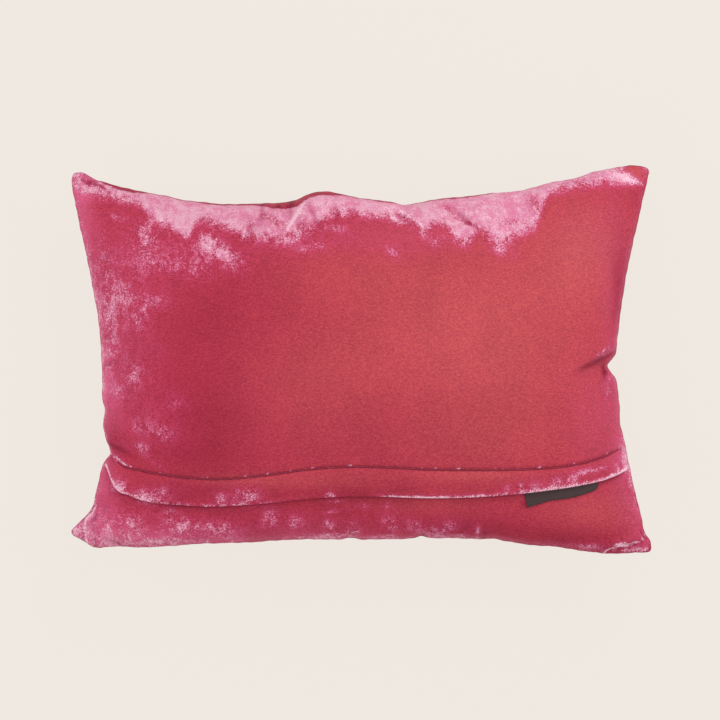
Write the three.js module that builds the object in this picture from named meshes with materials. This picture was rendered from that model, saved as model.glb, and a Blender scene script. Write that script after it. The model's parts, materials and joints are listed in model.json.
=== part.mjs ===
import * as THREE from 'three';

// A lumbar pillow in crushed velvet, lying on its face with the closure side up.
// Millimetres: +X along the long side, +Y towards the top edge, +Z up out of the closure side.
// The origin lies on the floor under the middle of the pillow.

// Both panels as they were cut, from seam to seam.
const CUT = { width: 600, height: 400 };

// Where the four seam corners lie once the pillow is filled. The lower ears curl up.
const CORNERS = {
  topLeft: { x: -294, y: 187, z: 62 },
  topRight: { x: 293, y: 192, z: 64 },
  bottomLeft: { x: -295, y: -179, z: 80 },
  bottomRight: { x: 294, y: -192, z: 80 },
};

// The seam runs along four sides. drawnIn is how far the filling pulls the middle of a side in,
// and the higher the power, the flatter that bow is.
const SIDES = {
  top: { from: 'topLeft', to: 'topRight', outward: { x: 0, y: 1 }, drawnIn: 29, power: 2.6 },
  bottom: { from: 'bottomLeft', to: 'bottomRight', outward: { x: 0, y: -1 }, drawnIn: 1, power: 4 },
  left: { from: 'bottomLeft', to: 'topLeft', outward: { x: -1, y: 0 }, drawnIn: 29, power: 2.2 },
  right: { from: 'bottomRight', to: 'topRight', outward: { x: 1, y: 0 }, drawnIn: 30, power: 2 },
};

// Lumps of filling push a side out, and tucks in the seam pull it in, with a negative height.
// at runs along the side from -1 to 1, and width is in the same measure.
const SWELLS = [
  { side: 'top', at: -0.96, height: 7, width: 0.06 },
  { side: 'top', at: -0.45, height: -5.5, width: 0.16 },
  { side: 'top', at: -0.13, height: 13, width: 0.12 },
  { side: 'top', at: 0.16, height: -3, width: 0.05 },
  { side: 'top', at: 0.45, height: 6.5, width: 0.16 },
  { side: 'top', at: 0.66, height: 4.5, width: 0.1 },
  { side: 'top', at: 0.9, height: 15, width: 0.2 },
  { side: 'bottom', at: -0.93, height: 2, width: 0.05 },
  { side: 'bottom', at: -0.78, height: 12, width: 0.28 },
  { side: 'bottom', at: -0.4, height: 3, width: 0.14 },
  { side: 'bottom', at: 0.36, height: -5, width: 0.26 },
  { side: 'bottom', at: 0.87, height: 7, width: 0.18 },
  { side: 'left', at: -0.86, height: -4, width: 0.07 },
  { side: 'left', at: -0.72, height: -14, width: 0.26 },
  { side: 'left', at: -0.5, height: -5, width: 0.1 },
  { side: 'left', at: -0.25, height: -3, width: 0.25 },
  { side: 'left', at: 0.68, height: 8, width: 0.38 },
  { side: 'right', at: -0.93, height: 3, width: 0.06 },
  { side: 'right', at: -0.04, height: -7, width: 0.045 },
  { side: 'right', at: 0, height: -3.5, width: 0.25 },
  { side: 'right', at: 0.72, height: 5, width: 0.25 },
];

// A swell fades out over its reach into the panel, and right at a corner by this power.
const SWELL_REACH = 45;
const CORNER_FADE = 30;

// The filling: how far each side stands off the seam at the middle, and how it falls off
// towards the ends and the long sides.
const FILL = { closureSide: 64, faceSide: 76, endPower: 3, sidePower: 2.4, fullness: 0.56 };

// The hemmed flap over the closure. The stitch line lies above the bottom seam by stitchHeight,
// measured on the cut cloth, and the flap hangs on below it to its free edge.
const CLOSURE = { stitchHeight: 85, flapDepth: 34, ditch: 1.5, ditchWidth: 12, step: 3.4, edgeStep: 4.5 };
const CLOSURE_ENDS = { fade: 26, height: 1.5 };

// The stitch line and the free edge wander up (+) and down as the filling pushes them.
// at runs along the pillow from -1 to 1.
const STITCH_WANDER = [
  { at: -1, rise: 14, width: 0.12 },
  { at: -0.52, rise: -7, width: 0.22 },
  { at: 0.03, rise: 3, width: 0.14 },
  { at: 0.3, rise: -2.5, width: 0.14 },
  { at: 1.05, rise: 31, width: 0.22 },
];
const EDGE_WANDER = [
  { at: -1, rise: 22, width: 0.05 },
  { at: -0.78, rise: 2.5, width: 0.2 },
  { at: 0.72, rise: 12, width: 0.22 },
  { at: 1, rise: 4, width: 0.1 },
];

// The flap is a folded hem, a little puffed between its stitch line and its free edge. It lies gap
// above the cushion, and edgeGap above it where the label goes under, over labelRoom of its depth.
const FLAP = {
  start: 3,
  gap: 0.36,
  edgeGap: 1.8,
  labelRoom: 0.35,
  puff: 0.5,
  noseLength: 1.1,
  noseRound: 0.35,
  end: 0.986,
};

// The woven label is sewn under the flap's free edge and shows below it. Its rows run from its
// lower edge, at 1, past the flap's free edge, at 0, to its tucked edge, at -1.
const LABEL = {
  left: 0.593,
  right: 0.862,
  tucked: 6,
  leftDepth: 13.5,
  rightDepth: 8,
  thickness: 1,
  gap: 0.36,
};
const LABEL_SHARES = [1, 0.6, 0.3, 0, -0.45, -1];

// Main creases (-) and ridges (+) of the closure side. x, y is the middle, angle turns from +X,
// and a crease fades out over its length.
const CREASES = [
  { x: -277, y: 174, angle: -60, length: 26, width: 7, height: -5 },
  { x: -104, y: 144, angle: 60, length: 44, width: 8, height: -4 },
  { x: -74, y: 148, angle: -75, length: 36, width: 8, height: -6 },
  { x: -56, y: 147, angle: -50, length: 44, width: 10, height: 5 },
  { x: -24, y: 142, angle: 84, length: 40, width: 10, height: -3 },
  { x: 42, y: 147, angle: -35, length: 54, width: 8, height: -6 },
  { x: 60, y: 146, angle: -35, length: 54, width: 10, height: 4 },
  { x: 104, y: 142, angle: -40, length: 44, width: 9, height: -4 },
  { x: 262, y: 184, angle: -20, length: 44, width: 8, height: 4 },
  { x: 246, y: -8, angle: 35, length: 44, width: 8, height: -7 },
  { x: 246, y: 10, angle: 45, length: 44, width: 9, height: 4 },
  { x: -240, y: -90, angle: -20, length: 44, width: 8, height: -5 },
  { x: -246, y: -178, angle: -20, length: 40, width: 7, height: -4 },
  { x: 258, y: -183, angle: 12, length: 40, width: 7, height: -4 },
];
// Creases fade out towards the seam, and are at full height from this fullness on.
const CREASE_FULLNESS = 0.5;

// How finely the surfaces are divided. crowding draws the rows and columns towards the seams,
// and slopeStep is the step over which the slope of a surface is measured.
const MESH = {
  columns: 54,
  upperRows: 16,
  lowerRows: 6,
  labelColumns: 10,
  crowding: 0.6,
  slopeStep: 0.004,
};

const COLOURS = { velvet: '#be4c54', flap: '#ae364d', label: '#463536' };

const bump = (x, at, width) => Math.exp(-(((x - at) / width) ** 2));

const fromSeam = (side, s, t) => ({
  top: (1 - t) * CUT.height / 2,
  bottom: (1 + t) * CUT.height / 2,
  left: (1 + s) * CUT.width / 2,
  right: (1 - s) * CUT.width / 2,
}[side]);

const along = (side, s, t) => (side === 'top' || side === 'bottom' ? s : t);

// A point of a side's smooth bow, without its swells.
function sidePoint(name, u) {
  const side = SIDES[name];
  const from = CORNERS[side.from];
  const to = CORNERS[side.to];
  const share = (u + 1) / 2;
  const inward = side.drawnIn * (1 - Math.abs(u) ** side.power);
  return new THREE.Vector3(
    THREE.MathUtils.lerp(from.x, to.x, share) - side.outward.x * inward,
    THREE.MathUtils.lerp(from.y, to.y, share) - side.outward.y * inward,
    THREE.MathUtils.lerp(from.z, to.z, share),
  );
}

// The middle sheet that the four bowed sides span. s and t run from -1 to 1 over the cut panel.
function spanned(s, t) {
  const a = (s + 1) / 2;
  const b = (t + 1) / 2;
  const corner = (name) => new THREE.Vector3(CORNERS[name].x, CORNERS[name].y, CORNERS[name].z);
  const lower = corner('bottomLeft').multiplyScalar(1 - a).addScaledVector(corner('bottomRight'), a);
  const upper = corner('topLeft').multiplyScalar(1 - a).addScaledVector(corner('topRight'), a);
  return new THREE.Vector3()
    .addScaledVector(sidePoint('bottom', s), 1 - b)
    .addScaledVector(sidePoint('top', s), b)
    .addScaledVector(sidePoint('left', t), 1 - a)
    .addScaledVector(sidePoint('right', t), a)
    .addScaledVector(lower, b - 1)
    .addScaledVector(upper, -b);
}

// Moves a point by the swells of the sides near it.
function addSwells(point, s, t) {
  for (const { side, at, height, width } of SWELLS) {
    const u = along(side, s, t);
    const amount = height * bump(u, at, width) * (1 - Math.abs(u) ** CORNER_FADE)
      * Math.exp(-fromSeam(side, s, t) / SWELL_REACH);
    point.x += SIDES[side].outward.x * amount;
    point.y += SIDES[side].outward.y * amount;
  }
}

const bowed = (share, power) => Math.max(0, 1 - Math.abs(share) ** power);
const fullness = (s, t) => (bowed(s, FILL.endPower) * bowed(t, FILL.sidePower)) ** FILL.fullness;

// How far the creases raise or lower the closure side at a place.
function creaseHeight(x, y) {
  let total = 0;
  for (const crease of CREASES) {
    const angle = THREE.MathUtils.degToRad(crease.angle);
    const dx = x - crease.x;
    const dy = y - crease.y;
    const lengthwise = dx * Math.cos(angle) + dy * Math.sin(angle);
    const across = dy * Math.cos(angle) - dx * Math.sin(angle);
    total += crease.height * bump(across, 0, crease.width) * bump(lengthwise, 0, crease.length / 2);
  }
  return total;
}

// The closure side before the flap's step is pressed into it.
function closureSide(s, t) {
  const point = spanned(s, t);
  addSwells(point, s, t);
  const full = fullness(s, t);
  const fade = Math.min(1, full / CREASE_FULLNESS);
  point.z += FILL.closureSide * full + creaseHeight(point.x, point.y) * fade;
  return point;
}

// The face side, which is flat where it lies on the floor.
function faceSide(s, t) {
  const point = spanned(s, t);
  addSwells(point, s, t);
  point.z = Math.max(0, point.z - FILL.faceSide * fullness(s, t));
  return point;
}

// The way out of the closure side.
function outOf(s, t) {
  const step = MESH.slopeStep;
  const inS = THREE.MathUtils.clamp(s, step * 2 - 1, 1 - step * 2);
  const inT = THREE.MathUtils.clamp(t, step * 2 - 1, 1 - step * 2);
  const alongS = closureSide(inS + step, inT).sub(closureSide(inS - step, inT));
  const alongT = closureSide(inS, inT + step).sub(closureSide(inS, inT - step));
  return alongS.cross(alongT).normalize();
}

const wander = (rows, s) => rows.reduce((sum, row) => sum + row.rise * bump(s, row.at, row.width), 0);
const stitchT = (s) => (CLOSURE.stitchHeight + wander(STITCH_WANDER, s)) * 2 / CUT.height - 1;
const flapDepth = (s) => CLOSURE.flapDepth - wander(EDGE_WANDER, s);

// The place on the cut panel that lies a depth below the stitch line.
const belowStitch = (s, depth) => stitchT(s) - depth * 2 / CUT.height;

// 0 at the side seams, where the flap is sewn in flat, and 1 away from them.
const closureFade = (s) => THREE.MathUtils.smoothstep(1 - Math.abs(s), 0, CLOSURE_ENDS.fade * 2 / CUT.width);

// How far the closure presses the closure side in, at a depth below the stitch line.
function pressedIn(s, depth) {
  const edge = flapDepth(s);
  const bottom = CLOSURE.stitchHeight + wander(STITCH_WANDER, s);
  const { lerp, smoothstep } = THREE.MathUtils;
  let height = 0;
  if (depth <= 0) {
    height = CLOSURE.ditch * smoothstep(depth, -CLOSURE.ditchWidth, 0);
  } else if (depth < FLAP.start) {
    height = lerp(CLOSURE.ditch, CLOSURE.step, depth / FLAP.start);
  } else if (depth < edge) {
    height = lerp(CLOSURE.step, CLOSURE.edgeStep, (depth - FLAP.start) / (edge - FLAP.start));
  } else {
    height = CLOSURE.edgeStep * (1 - smoothstep(depth, edge, bottom));
  }
  return height * closureFade(s);
}

const lifted = (s, depth, height) => {
  const t = belowStitch(s, depth);
  return closureSide(s, t).addScaledVector(outOf(s, t), height);
};
const overCushion = (s, depth, height) => lifted(s, depth, height - pressedIn(s, depth));

// A closed body between an upper and a lower grid of points. With a shared rim the two grids
// meet in a seam, and otherwise a wall joins them.
function closedBody(columns, rows, upperAt, lowerAt, sharedRim) {
  const positions = [];
  const indices = [];
  const addPoint = ({ x, y, z }) => positions.push(x, y, z) / 3 - 1;
  const onRim = (i, j) => i === 0 || j === 0 || i === columns || j === rows;
  const grid = (pointAt, rim) => {
    const places = [];
    for (let j = 0; j <= rows; j += 1) {
      places.push([]);
      for (let i = 0; i <= columns; i += 1) {
        places[j].push(rim && onRim(i, j) ? rim[j][i] : addPoint(pointAt(i, j)));
      }
    }
    return places;
  };
  const quad = (a, b, c, d) => indices.push(a, b, c, a, c, d);
  const upper = grid(upperAt, null);
  const lower = grid(lowerAt, sharedRim ? upper : null);
  for (let j = 0; j < rows; j += 1) {
    for (let i = 0; i < columns; i += 1) {
      quad(upper[j][i], upper[j][i + 1], upper[j + 1][i + 1], upper[j + 1][i]);
      quad(lower[j][i], lower[j + 1][i], lower[j + 1][i + 1], lower[j][i + 1]);
    }
  }
  if (!sharedRim) {
    for (let i = 0; i < columns; i += 1) {
      quad(lower[0][i], lower[0][i + 1], upper[0][i + 1], upper[0][i]);
      quad(upper[rows][i], upper[rows][i + 1], lower[rows][i + 1], lower[rows][i]);
    }
    for (let j = 0; j < rows; j += 1) {
      quad(upper[j][0], upper[j + 1][0], lower[j + 1][0], lower[j][0]);
      quad(lower[j][columns], lower[j + 1][columns], upper[j + 1][columns], upper[j][columns]);
    }
  }
  const geometry = new THREE.BufferGeometry();
  geometry.setAttribute('position', new THREE.Float32BufferAttribute(positions, 3));
  geometry.setIndex(indices);
  geometry.computeVertexNormals();
  return geometry;
}

// Even steps from 0 to 1, crowded towards 1, where a panel turns down to its seam.
const crowded = (share) => THREE.MathUtils.lerp(share, Math.sin(share * Math.PI / 2), MESH.crowding);

// The columns of points, from side seam to side seam. The flap ends on the outermost but one.
const columnS = (i) => {
  const share = (2 * i - MESH.columns) / (MESH.columns - 2);
  return Math.abs(share) > 1 ? Math.sign(share) : Math.sign(share) * crowded(Math.abs(share)) * FLAP.end;
};

// Depths below the stitch line of the flap's rows, from its rounded nose up to its stitch line.
const FLAP_SHARES = [0, 0.12, 0.34, 0.67, 0.9, 1];
function flapDepths(s) {
  const edge = flapDepth(s);
  const rows = FLAP_SHARES.map((share) => THREE.MathUtils.lerp(edge, FLAP.start, share));
  return [edge + FLAP.noseLength, ...rows];
}

// The rows of points of both panels around the closure. Those under the flap match its own rows.
const closureDepths = (s) => [flapDepth(s) + LABEL.leftDepth, flapDepth(s) + LABEL.leftDepth / 3,
  ...flapDepths(s), 0, -CLOSURE.ditchWidth / 3, -CLOSURE.ditchWidth];

// The rows of points of a panel, from the bottom seam to the top seam.
const closureRows = closureDepths(0).length;
const panelRows = MESH.lowerRows + closureRows - 1 + MESH.upperRows;
function rowDepth(s, j) {
  const depths = closureDepths(s);
  const bottom = CLOSURE.stitchHeight + wander(STITCH_WANDER, s);
  if (j < MESH.lowerRows) {
    return THREE.MathUtils.lerp(depths[0], bottom, crowded(1 - j / MESH.lowerRows));
  }
  if (j < MESH.lowerRows + closureRows) {
    return depths[j - MESH.lowerRows];
  }
  const share = (j - MESH.lowerRows - closureRows + 1) / MESH.upperRows;
  return THREE.MathUtils.lerp(depths[closureRows - 1], bottom - CUT.height, crowded(share));
}

function cushionGeometry() {
  const upperAt = (i, j) => overCushion(columnS(i), rowDepth(columnS(i), j), 0);
  const lowerAt = (i, j) => faceSide(columnS(i), belowStitch(columnS(i), rowDepth(columnS(i), j)));
  return closedBody(MESH.columns, panelRows, upperAt, lowerAt, true);
}

// The flap's first row is its nose. At the side seams it is thin and lies flat on the cushion.
function flapGeometry() {
  const { lerp, smoothstep } = THREE.MathUtils;
  const sAt = (i) => columnS(i + 1);
  const shareAt = (j) => FLAP_SHARES[Math.max(0, j - 1)];
  const undersideAt = (s, share) => lerp(FLAP.gap,
    lerp(FLAP.edgeGap, FLAP.gap, smoothstep(share, FLAP.labelRoom, 1)), closureFade(s));
  const topsideAt = (s, share) => lerp(CLOSURE_ENDS.height, FLAP.puff * Math.sin(Math.PI * share),
    closureFade(s));
  const noseAt = (s, level) => lerp(undersideAt(s, 0), topsideAt(s, 0) + pressedIn(s, flapDepth(s)), level);
  const upperAt = (i, j) => {
    const s = sAt(i);
    const depth = flapDepths(s)[j];
    return j === 0
      ? overCushion(s, depth, noseAt(s, 1 - FLAP.noseRound))
      : lifted(s, depth, topsideAt(s, shareAt(j)));
  };
  const lowerAt = (i, j) => {
    const s = sAt(i);
    const height = j === 0 ? noseAt(s, FLAP.noseRound) : undersideAt(s, shareAt(j));
    return overCushion(s, flapDepths(s)[j], height);
  };
  return closedBody(MESH.columns - 2, FLAP_SHARES.length, upperAt, lowerAt, false);
}

function labelGeometry() {
  const { lerp } = THREE.MathUtils;
  const sAt = (i) => lerp(LABEL.left, LABEL.right, i / MESH.labelColumns);
  const depthAt = (i, j) => {
    const showing = lerp(LABEL.leftDepth, LABEL.rightDepth, i / MESH.labelColumns);
    return flapDepth(sAt(i)) + LABEL_SHARES[j] * (LABEL_SHARES[j] > 0 ? showing : LABEL.tucked);
  };
  const lowerAt = (i, j) => overCushion(sAt(i), depthAt(i, j), LABEL.gap);
  const upperAt = (i, j) => overCushion(sAt(i), depthAt(i, j), LABEL.gap + LABEL.thickness);
  return closedBody(MESH.labelColumns, LABEL_SHARES.length - 1, upperAt, lowerAt, false);
}

function piece(name, geometry, color, roughness) {
  const mesh = new THREE.Mesh(geometry, new THREE.MeshStandardMaterial({ color, roughness, metalness: 0 }));
  mesh.name = name;
  return mesh;
}

const pillow = new THREE.Group();
pillow.name = 'lumbar_pillow';
pillow.add(
  piece('cushion', cushionGeometry(), COLOURS.velvet, 0.85),
  piece('closure_flap', flapGeometry(), COLOURS.flap, 0.85),
  piece('label', labelGeometry(), COLOURS.label, 0.7),
);

// The middle of the pillow's box goes over the origin, and its lowest point on the floor.
const box = new THREE.Box3().setFromObject(pillow);
const middle = box.getCenter(new THREE.Vector3());
pillow.position.set(-middle.x, -middle.y, -box.min.z);

export default pillow;
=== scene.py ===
"""A lumbar pillow in crushed silk velvet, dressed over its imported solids.

The pillow lies on its face with the closure side up. The tables are in millimetres: +X along the
long side, +Y towards the top edge, +Z up out of the closure side. Meshes are made in metres. Two
flat-cut panels are sewn in one seam, and Blender's Cloth fills them with pressure. The cover is the
filled cloth, drawn out of it more finely, with its closure pressed in.
"""

import json
import logging
import math
from dataclasses import dataclass, field
from enum import Enum
from typing import Any

import bpy
import numpy as np
from mathutils import Matrix, Vector

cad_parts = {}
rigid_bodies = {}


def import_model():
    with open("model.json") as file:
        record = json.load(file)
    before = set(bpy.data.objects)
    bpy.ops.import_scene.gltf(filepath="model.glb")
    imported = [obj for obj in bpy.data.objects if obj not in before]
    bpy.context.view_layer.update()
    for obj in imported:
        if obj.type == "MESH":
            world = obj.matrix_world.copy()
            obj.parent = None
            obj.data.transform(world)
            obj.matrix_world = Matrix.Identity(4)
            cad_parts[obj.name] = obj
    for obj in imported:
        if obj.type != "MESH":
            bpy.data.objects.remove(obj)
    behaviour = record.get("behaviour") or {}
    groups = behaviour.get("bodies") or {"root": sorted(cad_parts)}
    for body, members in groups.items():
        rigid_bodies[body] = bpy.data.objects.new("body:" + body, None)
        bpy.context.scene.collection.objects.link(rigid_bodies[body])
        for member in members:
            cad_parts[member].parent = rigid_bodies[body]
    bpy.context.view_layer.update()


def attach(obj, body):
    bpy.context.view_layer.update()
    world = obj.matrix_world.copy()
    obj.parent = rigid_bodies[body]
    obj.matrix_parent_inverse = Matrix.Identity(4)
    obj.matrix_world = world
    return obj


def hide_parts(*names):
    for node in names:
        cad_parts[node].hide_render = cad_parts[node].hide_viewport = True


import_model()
LOG = logging.getLogger("lumbar_pillow")
MM = 0.001

Table = tuple[tuple[float, ...], ...]
Grid = np.ndarray


class Side(Enum):
    """The pillow's four sides, each with its outward direction in plan."""

    TOP = (0.0, 1.0)
    BOTTOM = (0.0, -1.0)
    LEFT = (-1.0, 0.0)
    RIGHT = (1.0, 0.0)


class Panel(Enum):
    """The two panels of the cover: the closure side, which is seen, and the face it lies on."""

    CLOSURE = "closure"
    FACE = "face"


class Slot(Enum):
    """The record's material slots."""

    VELVET = "velvet"
    RIBBON = "label_ribbon"


def bump(x: Grid, at: float, width: float) -> Grid:
    """A smooth hump of height 1 about one place."""
    return np.exp(-(((x - at) / width) ** 2))


def ease(x: Grid, low: float, high: float) -> Grid:
    """Rises smoothly from 0 at low to 1 at high."""
    share = np.clip((x - low) / (high - low), 0, 1)
    return share * share * (3 - 2 * share)


def waves(x: Grid, lengths: tuple[float, ...], seed: int) -> Grid:
    """An uneven ripple of about -1 to 1, the sum of waves of several lengths.

    Args:
        x: Places along the ripple.
        lengths: The wavelengths, in the measure of x.
        seed: Sets where each wave starts.

    Returns:
        The ripple's height at each place.
    """
    starts = np.random.default_rng(seed).uniform(0, 2 * math.pi, len(lengths))
    parts = [np.sin(2 * math.pi * x / length + start) for length, start in zip(lengths, starts)]
    return sum(parts) / math.sqrt(len(lengths))


def spread(steps: int, crowding: float) -> Grid:
    """Places from 0 to 1 that lie closer together at both ends.

    Args:
        steps: How many steps there are.
        crowding: 0 for even steps, up to nearly 1 for steps of no length at the ends.

    Returns:
        The steps + 1 places.
    """
    x = np.linspace(0, 1, steps + 1)
    return x - crowding * np.sin(2 * math.pi * x) / (2 * math.pi)


def course(table: Table, x: Grid) -> Grid:
    """A smooth curve through points, level beyond its ends.

    Args:
        table: The points, each a place and a value, in order of place.
        x: Where to read the curve.

    Returns:
        The curve's value at each place.
    """
    at = np.array([row[0] for row in table], float)
    value = np.array([row[1] for row in table], float)
    slope = np.gradient(value, at)
    i = np.clip(np.searchsorted(at, x) - 1, 0, len(at) - 2)
    step = at[i + 1] - at[i]
    u = np.clip((x - at[i]) / step, 0, 1)
    start = (1 - u) ** 2 * ((1 + 2 * u) * value[i] + u * step * slope[i])
    end = u**2 * ((3 - 2 * u) * value[i + 1] - (1 - u) * step * slope[i + 1])
    return start + end


def turned(plan: Grid, x: float, y: float, angle: float) -> tuple[Grid, Grid]:
    """Distances from a place along a direction and across it.

    Args:
        plan: Points of the plan.
        x: The place's x.
        y: The place's y.
        angle: The direction, in degrees from +X.

    Returns:
        The distances along and across.
    """
    turn = math.radians(angle)
    dx, dy = plan[..., 0] - x, plan[..., 1] - y
    return (dx * math.cos(turn) + dy * math.sin(turn), dy * math.cos(turn) - dx * math.sin(turn))


@dataclass(frozen=True)
class Bow:
    """One side's course from corner to corner, and how far the filling draws its middle in."""

    start: tuple[float, float, float]
    end: tuple[float, float, float]
    drawn_in: float
    power: float


TOP_LEFT = (-296.0, 196.0, 62.0)
TOP_RIGHT = (295.0, 200.5, 64.0)
BOTTOM_LEFT = (-297.0, -170.2, 80.0)
BOTTOM_RIGHT = (295.0, -190.2, 80.0)

BOWS = {
    Side.TOP: Bow(TOP_LEFT, TOP_RIGHT, 30.4, 2.6),
    Side.BOTTOM: Bow(BOTTOM_LEFT, BOTTOM_RIGHT, 1, 4),
    Side.LEFT: Bow(BOTTOM_LEFT, TOP_LEFT, 30.2, 2.2),
    Side.RIGHT: Bow(BOTTOM_RIGHT, TOP_RIGHT, 31.2, 2),
}

# Lumps of filling that push a side out, and tucks that pull it in: place along it, height, width.
SWELLS: dict[Side, Table] = {
    Side.TOP: (
        (-0.97, 6, 0.03), (-0.78, -2.4, 0.13), (-0.6, -1.2, 0.22), (-0.62, -1.4, 0.04),
        (-0.45, -6.4, 0.2), (-0.41, 2.2, 0.09), (-0.34, 1.2, 0.04), (-0.2, -1, 0.3),
        (-0.23, -1.6, 0.04), (-0.13, 12.4, 0.115), (0.04, 2.2, 0.07), (0.15, 1.6, 0.03),
        (0.15, -2.2, 0.02), (0.16, -2.4, 0.05), (0.28, 1.5, 0.05), (0.45, 4.8, 0.16),
        (0.66, 5.4, 0.08), (0.79, 2.6, 0.05), (0.88, 8.6, 0.19), (0.9, 2.4, 0.12),
        (0.3, -2.4, 0.55),
    ),
    Side.BOTTOM: (
        (-0.91, 4.8, 0.045), (-0.78, 13.5, 0.28), (-0.4, 3.2, 0.14), (0, -1.6, 0.9),
        (-0.4, 1.5, 0.5), (-0.03, -2, 0.02), (0.21, -2.6, 0.02), (0.36, -5, 0.26),
        (0.46, -1.5, 0.03), (0.58, 1.4, 0.05), (0.84, 4.4, 0.14),
    ),
    Side.LEFT: (
        (-0.87, -4.6, 0.07), (-0.72, -14, 0.26), (-0.7, 0.6, 0.03), (-0.56, -6, 0.042),
        (-0.5, -5, 0.1), (-0.33, -3.2, 0.05), (-0.25, -3, 0.25), (0.35, 1.3, 0.15), (0.68, 8, 0.38),
    ),
    Side.RIGHT: (
        (-0.94, 2.5, 0.04), (-0.895, -2.8, 0.025), (-0.34, -2, 0.06), (-0.035, -9.4, 0.042),
        (0, -3.5, 0.25), (-0.3, -1.3, 0.3), (0.72, 2.4, 0.25),
    ),
}

# Where the seam has turned in over the closure side, a strip of the face panel shows beyond it.
# Along the top it is a strip from the edge: x, width.
TOP_STRIP: Table = (
    (-268, 0), (-256, 2.4), (-244, 3.4), (-232, 3.2), (-222, 1.4), (-190, 0.9), (-150, 1.5),
    (-110, 2.3), (-98, 3.8), (-90, 5.6), (-70, 7.4), (-63, 7.8), (-57, 6), (-50, 4.4), (-38, 4.4),
    (-28, 3.6), (-19, 1.4), (0, 1), (30, 1.2), (37, 0.4), (60, 0.5), (85, 1.1), (125, 1.1),
    (140, 0),
)
# At the lower corners the seam crosses the ear: y, x at the left and x, y at the right.
LEFT_TURN: Table = (
    (-205, -277), (-189, -279), (-180, -280), (-170, -281.5), (-162, -280), (-151, -271.5),
    (-146, -276), (-142, -330),
)
RIGHT_TURN: Table = (
    (236, -215), (250, -195), (262, -190.5), (277, -187.5), (290, -177), (294, -166), (300, -150),
)

# Broad folds of the closure side, sunk (-) or raised (+): x, y, angle from +X, length, width,
# height.
FOLDS: Table = (
    (-277, 174, -60, 26, 7, -4), (-104, 144, 60, 44, 8, -3), (-74, 148, -75, 36, 8, -6),
    (-56, 147, -50, 44, 10, 6), (-24, 142, 84, 40, 10, -3.5), (42, 147, -35, 54, 8, -2.6),
    (60, 146, -35, 54, 10, 4), (104, 142, -40, 44, 9, -4), (262, 184, -20, 44, 8, 4),
    (246, -8, 35, 44, 8, -6), (246, 10, 45, 44, 9, 3), (-240, -90, -20, 44, 8, -4),
    (-262, 112, 20, 30, 6, -1.5), (-252, 40, 4, 36, 7, -1.6), (-250, -12, 10, 36, 7, -1.8),
    (-248, -34, 4, 30, 5, -1.2), (-255, 3, 12, 26, 5, 1.2), (-220, -79, -24, 36, 7, -1.4),
    (-190, -152, 28, 30, 6, -1.6), (-240, -160, -34, 40, 8, -2.4), (255, -40, 80, 36, 6, -1.4),
    (250, -28, 70, 30, 5, 1.4), (262, -140, -70, 30, 6, -1.2), (-272, -165, 80, 30, 7, 3),
    (-150, 148, 70, 40, 9, 1.6), (-128, 150, 80, 36, 8, -1.4), (120, 150, 60, 40, 9, 1.6),
    (160, 152, 75, 44, 10, -1.6), (0, 152, 80, 36, 9, 1.5), (22, 150, 70, 34, 8, -1.5),
)
# Sharp creases (-) and ridges (+): the same. They shape the cloth, and a crease also gets
# painted shade and a ridge a painted highlight.
CREASES: Table = (
    (-101, 150, 78, 26, 2.6, -2.2), (-111, 134, 60, 24, 3, -1.6), (-66, 147, 58, 38, 2, 3),
    (-48, 148, -62, 30, 2.6, -2.2), (-72, 152, -75, 16, 3, -2), (-25, 154, 88, 26, 3, -1.6),
    (-22, 156, -70, 20, 2.4, 1.6), (33, 147, -58, 20, 2.2, 1.6), (48, 147, -32, 44, 2.4, 1.6),
    (42, 146, -34, 26, 2.4, -1), (101, 148, -42, 26, 2.4, -2.4), (112, 139, -28, 18, 2.6, -1.4),
    (247, 8, 42, 26, 2.4, 1.1), (241, -2, 28, 40, 2.6, -2.8), (248, -12, -84, 16, 2.4, -2.4),
    (-246, -91, -28, 30, 2.4, -2), (-248, -86, -28, 26, 2.6, 0.4), (-262, -168, 50, 20, 3, -0.6),
    (-250, -186, -20, 26, 2.6, -2.2), (262, -189, 14, 26, 2.2, 1.4), (250, -192, 4, 22, 2.2, -1.4),
    (-280, 181, -40, 12, 2.2, -2), (-268, 178, -25, 14, 2, -1.8), (268, 186, -18, 34, 2.6, 2),
    (-9, -182, 70, 10, 2.4, -1.6), (63, -181, 75, 12, 2.4, -2), (126, -180, 80, 10, 2.4, -1.4),
    (-262, 104, 15, 18, 2.4, -1), (-257, 22, 12, 20, 2.4, -1), (-255, -4, 20, 16, 2.4, -1),
)
# The lower edge of the pale band of crushed pile along the top, in part a painted sheen: x, y.
BAND_EDGE: Table = (
    (-300, 200), (-288, 174), (-268, 167), (-240, 161), (-224, 158), (-213, 145), (-196, 134),
    (-188, 128), (-176, 126), (-169, 138), (-161, 142), (-148, 136), (-135, 134), (-113, 122),
    (-100, 125), (-92, 123), (-66, 123), (-57, 130), (-43, 138), (-31, 146), (-11, 148), (12, 145),
    (30, 144), (48, 143), (57, 138), (63, 128), (71, 135), (89, 134), (97, 122), (106, 117),
    (122, 130), (132, 124), (142, 121), (152, 123), (162, 127), (172, 131), (180, 135), (184, 144),
    (187, 156), (191, 166), (200, 171), (214, 174), (244, 179), (283, 182), (300, 192),
)
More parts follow.
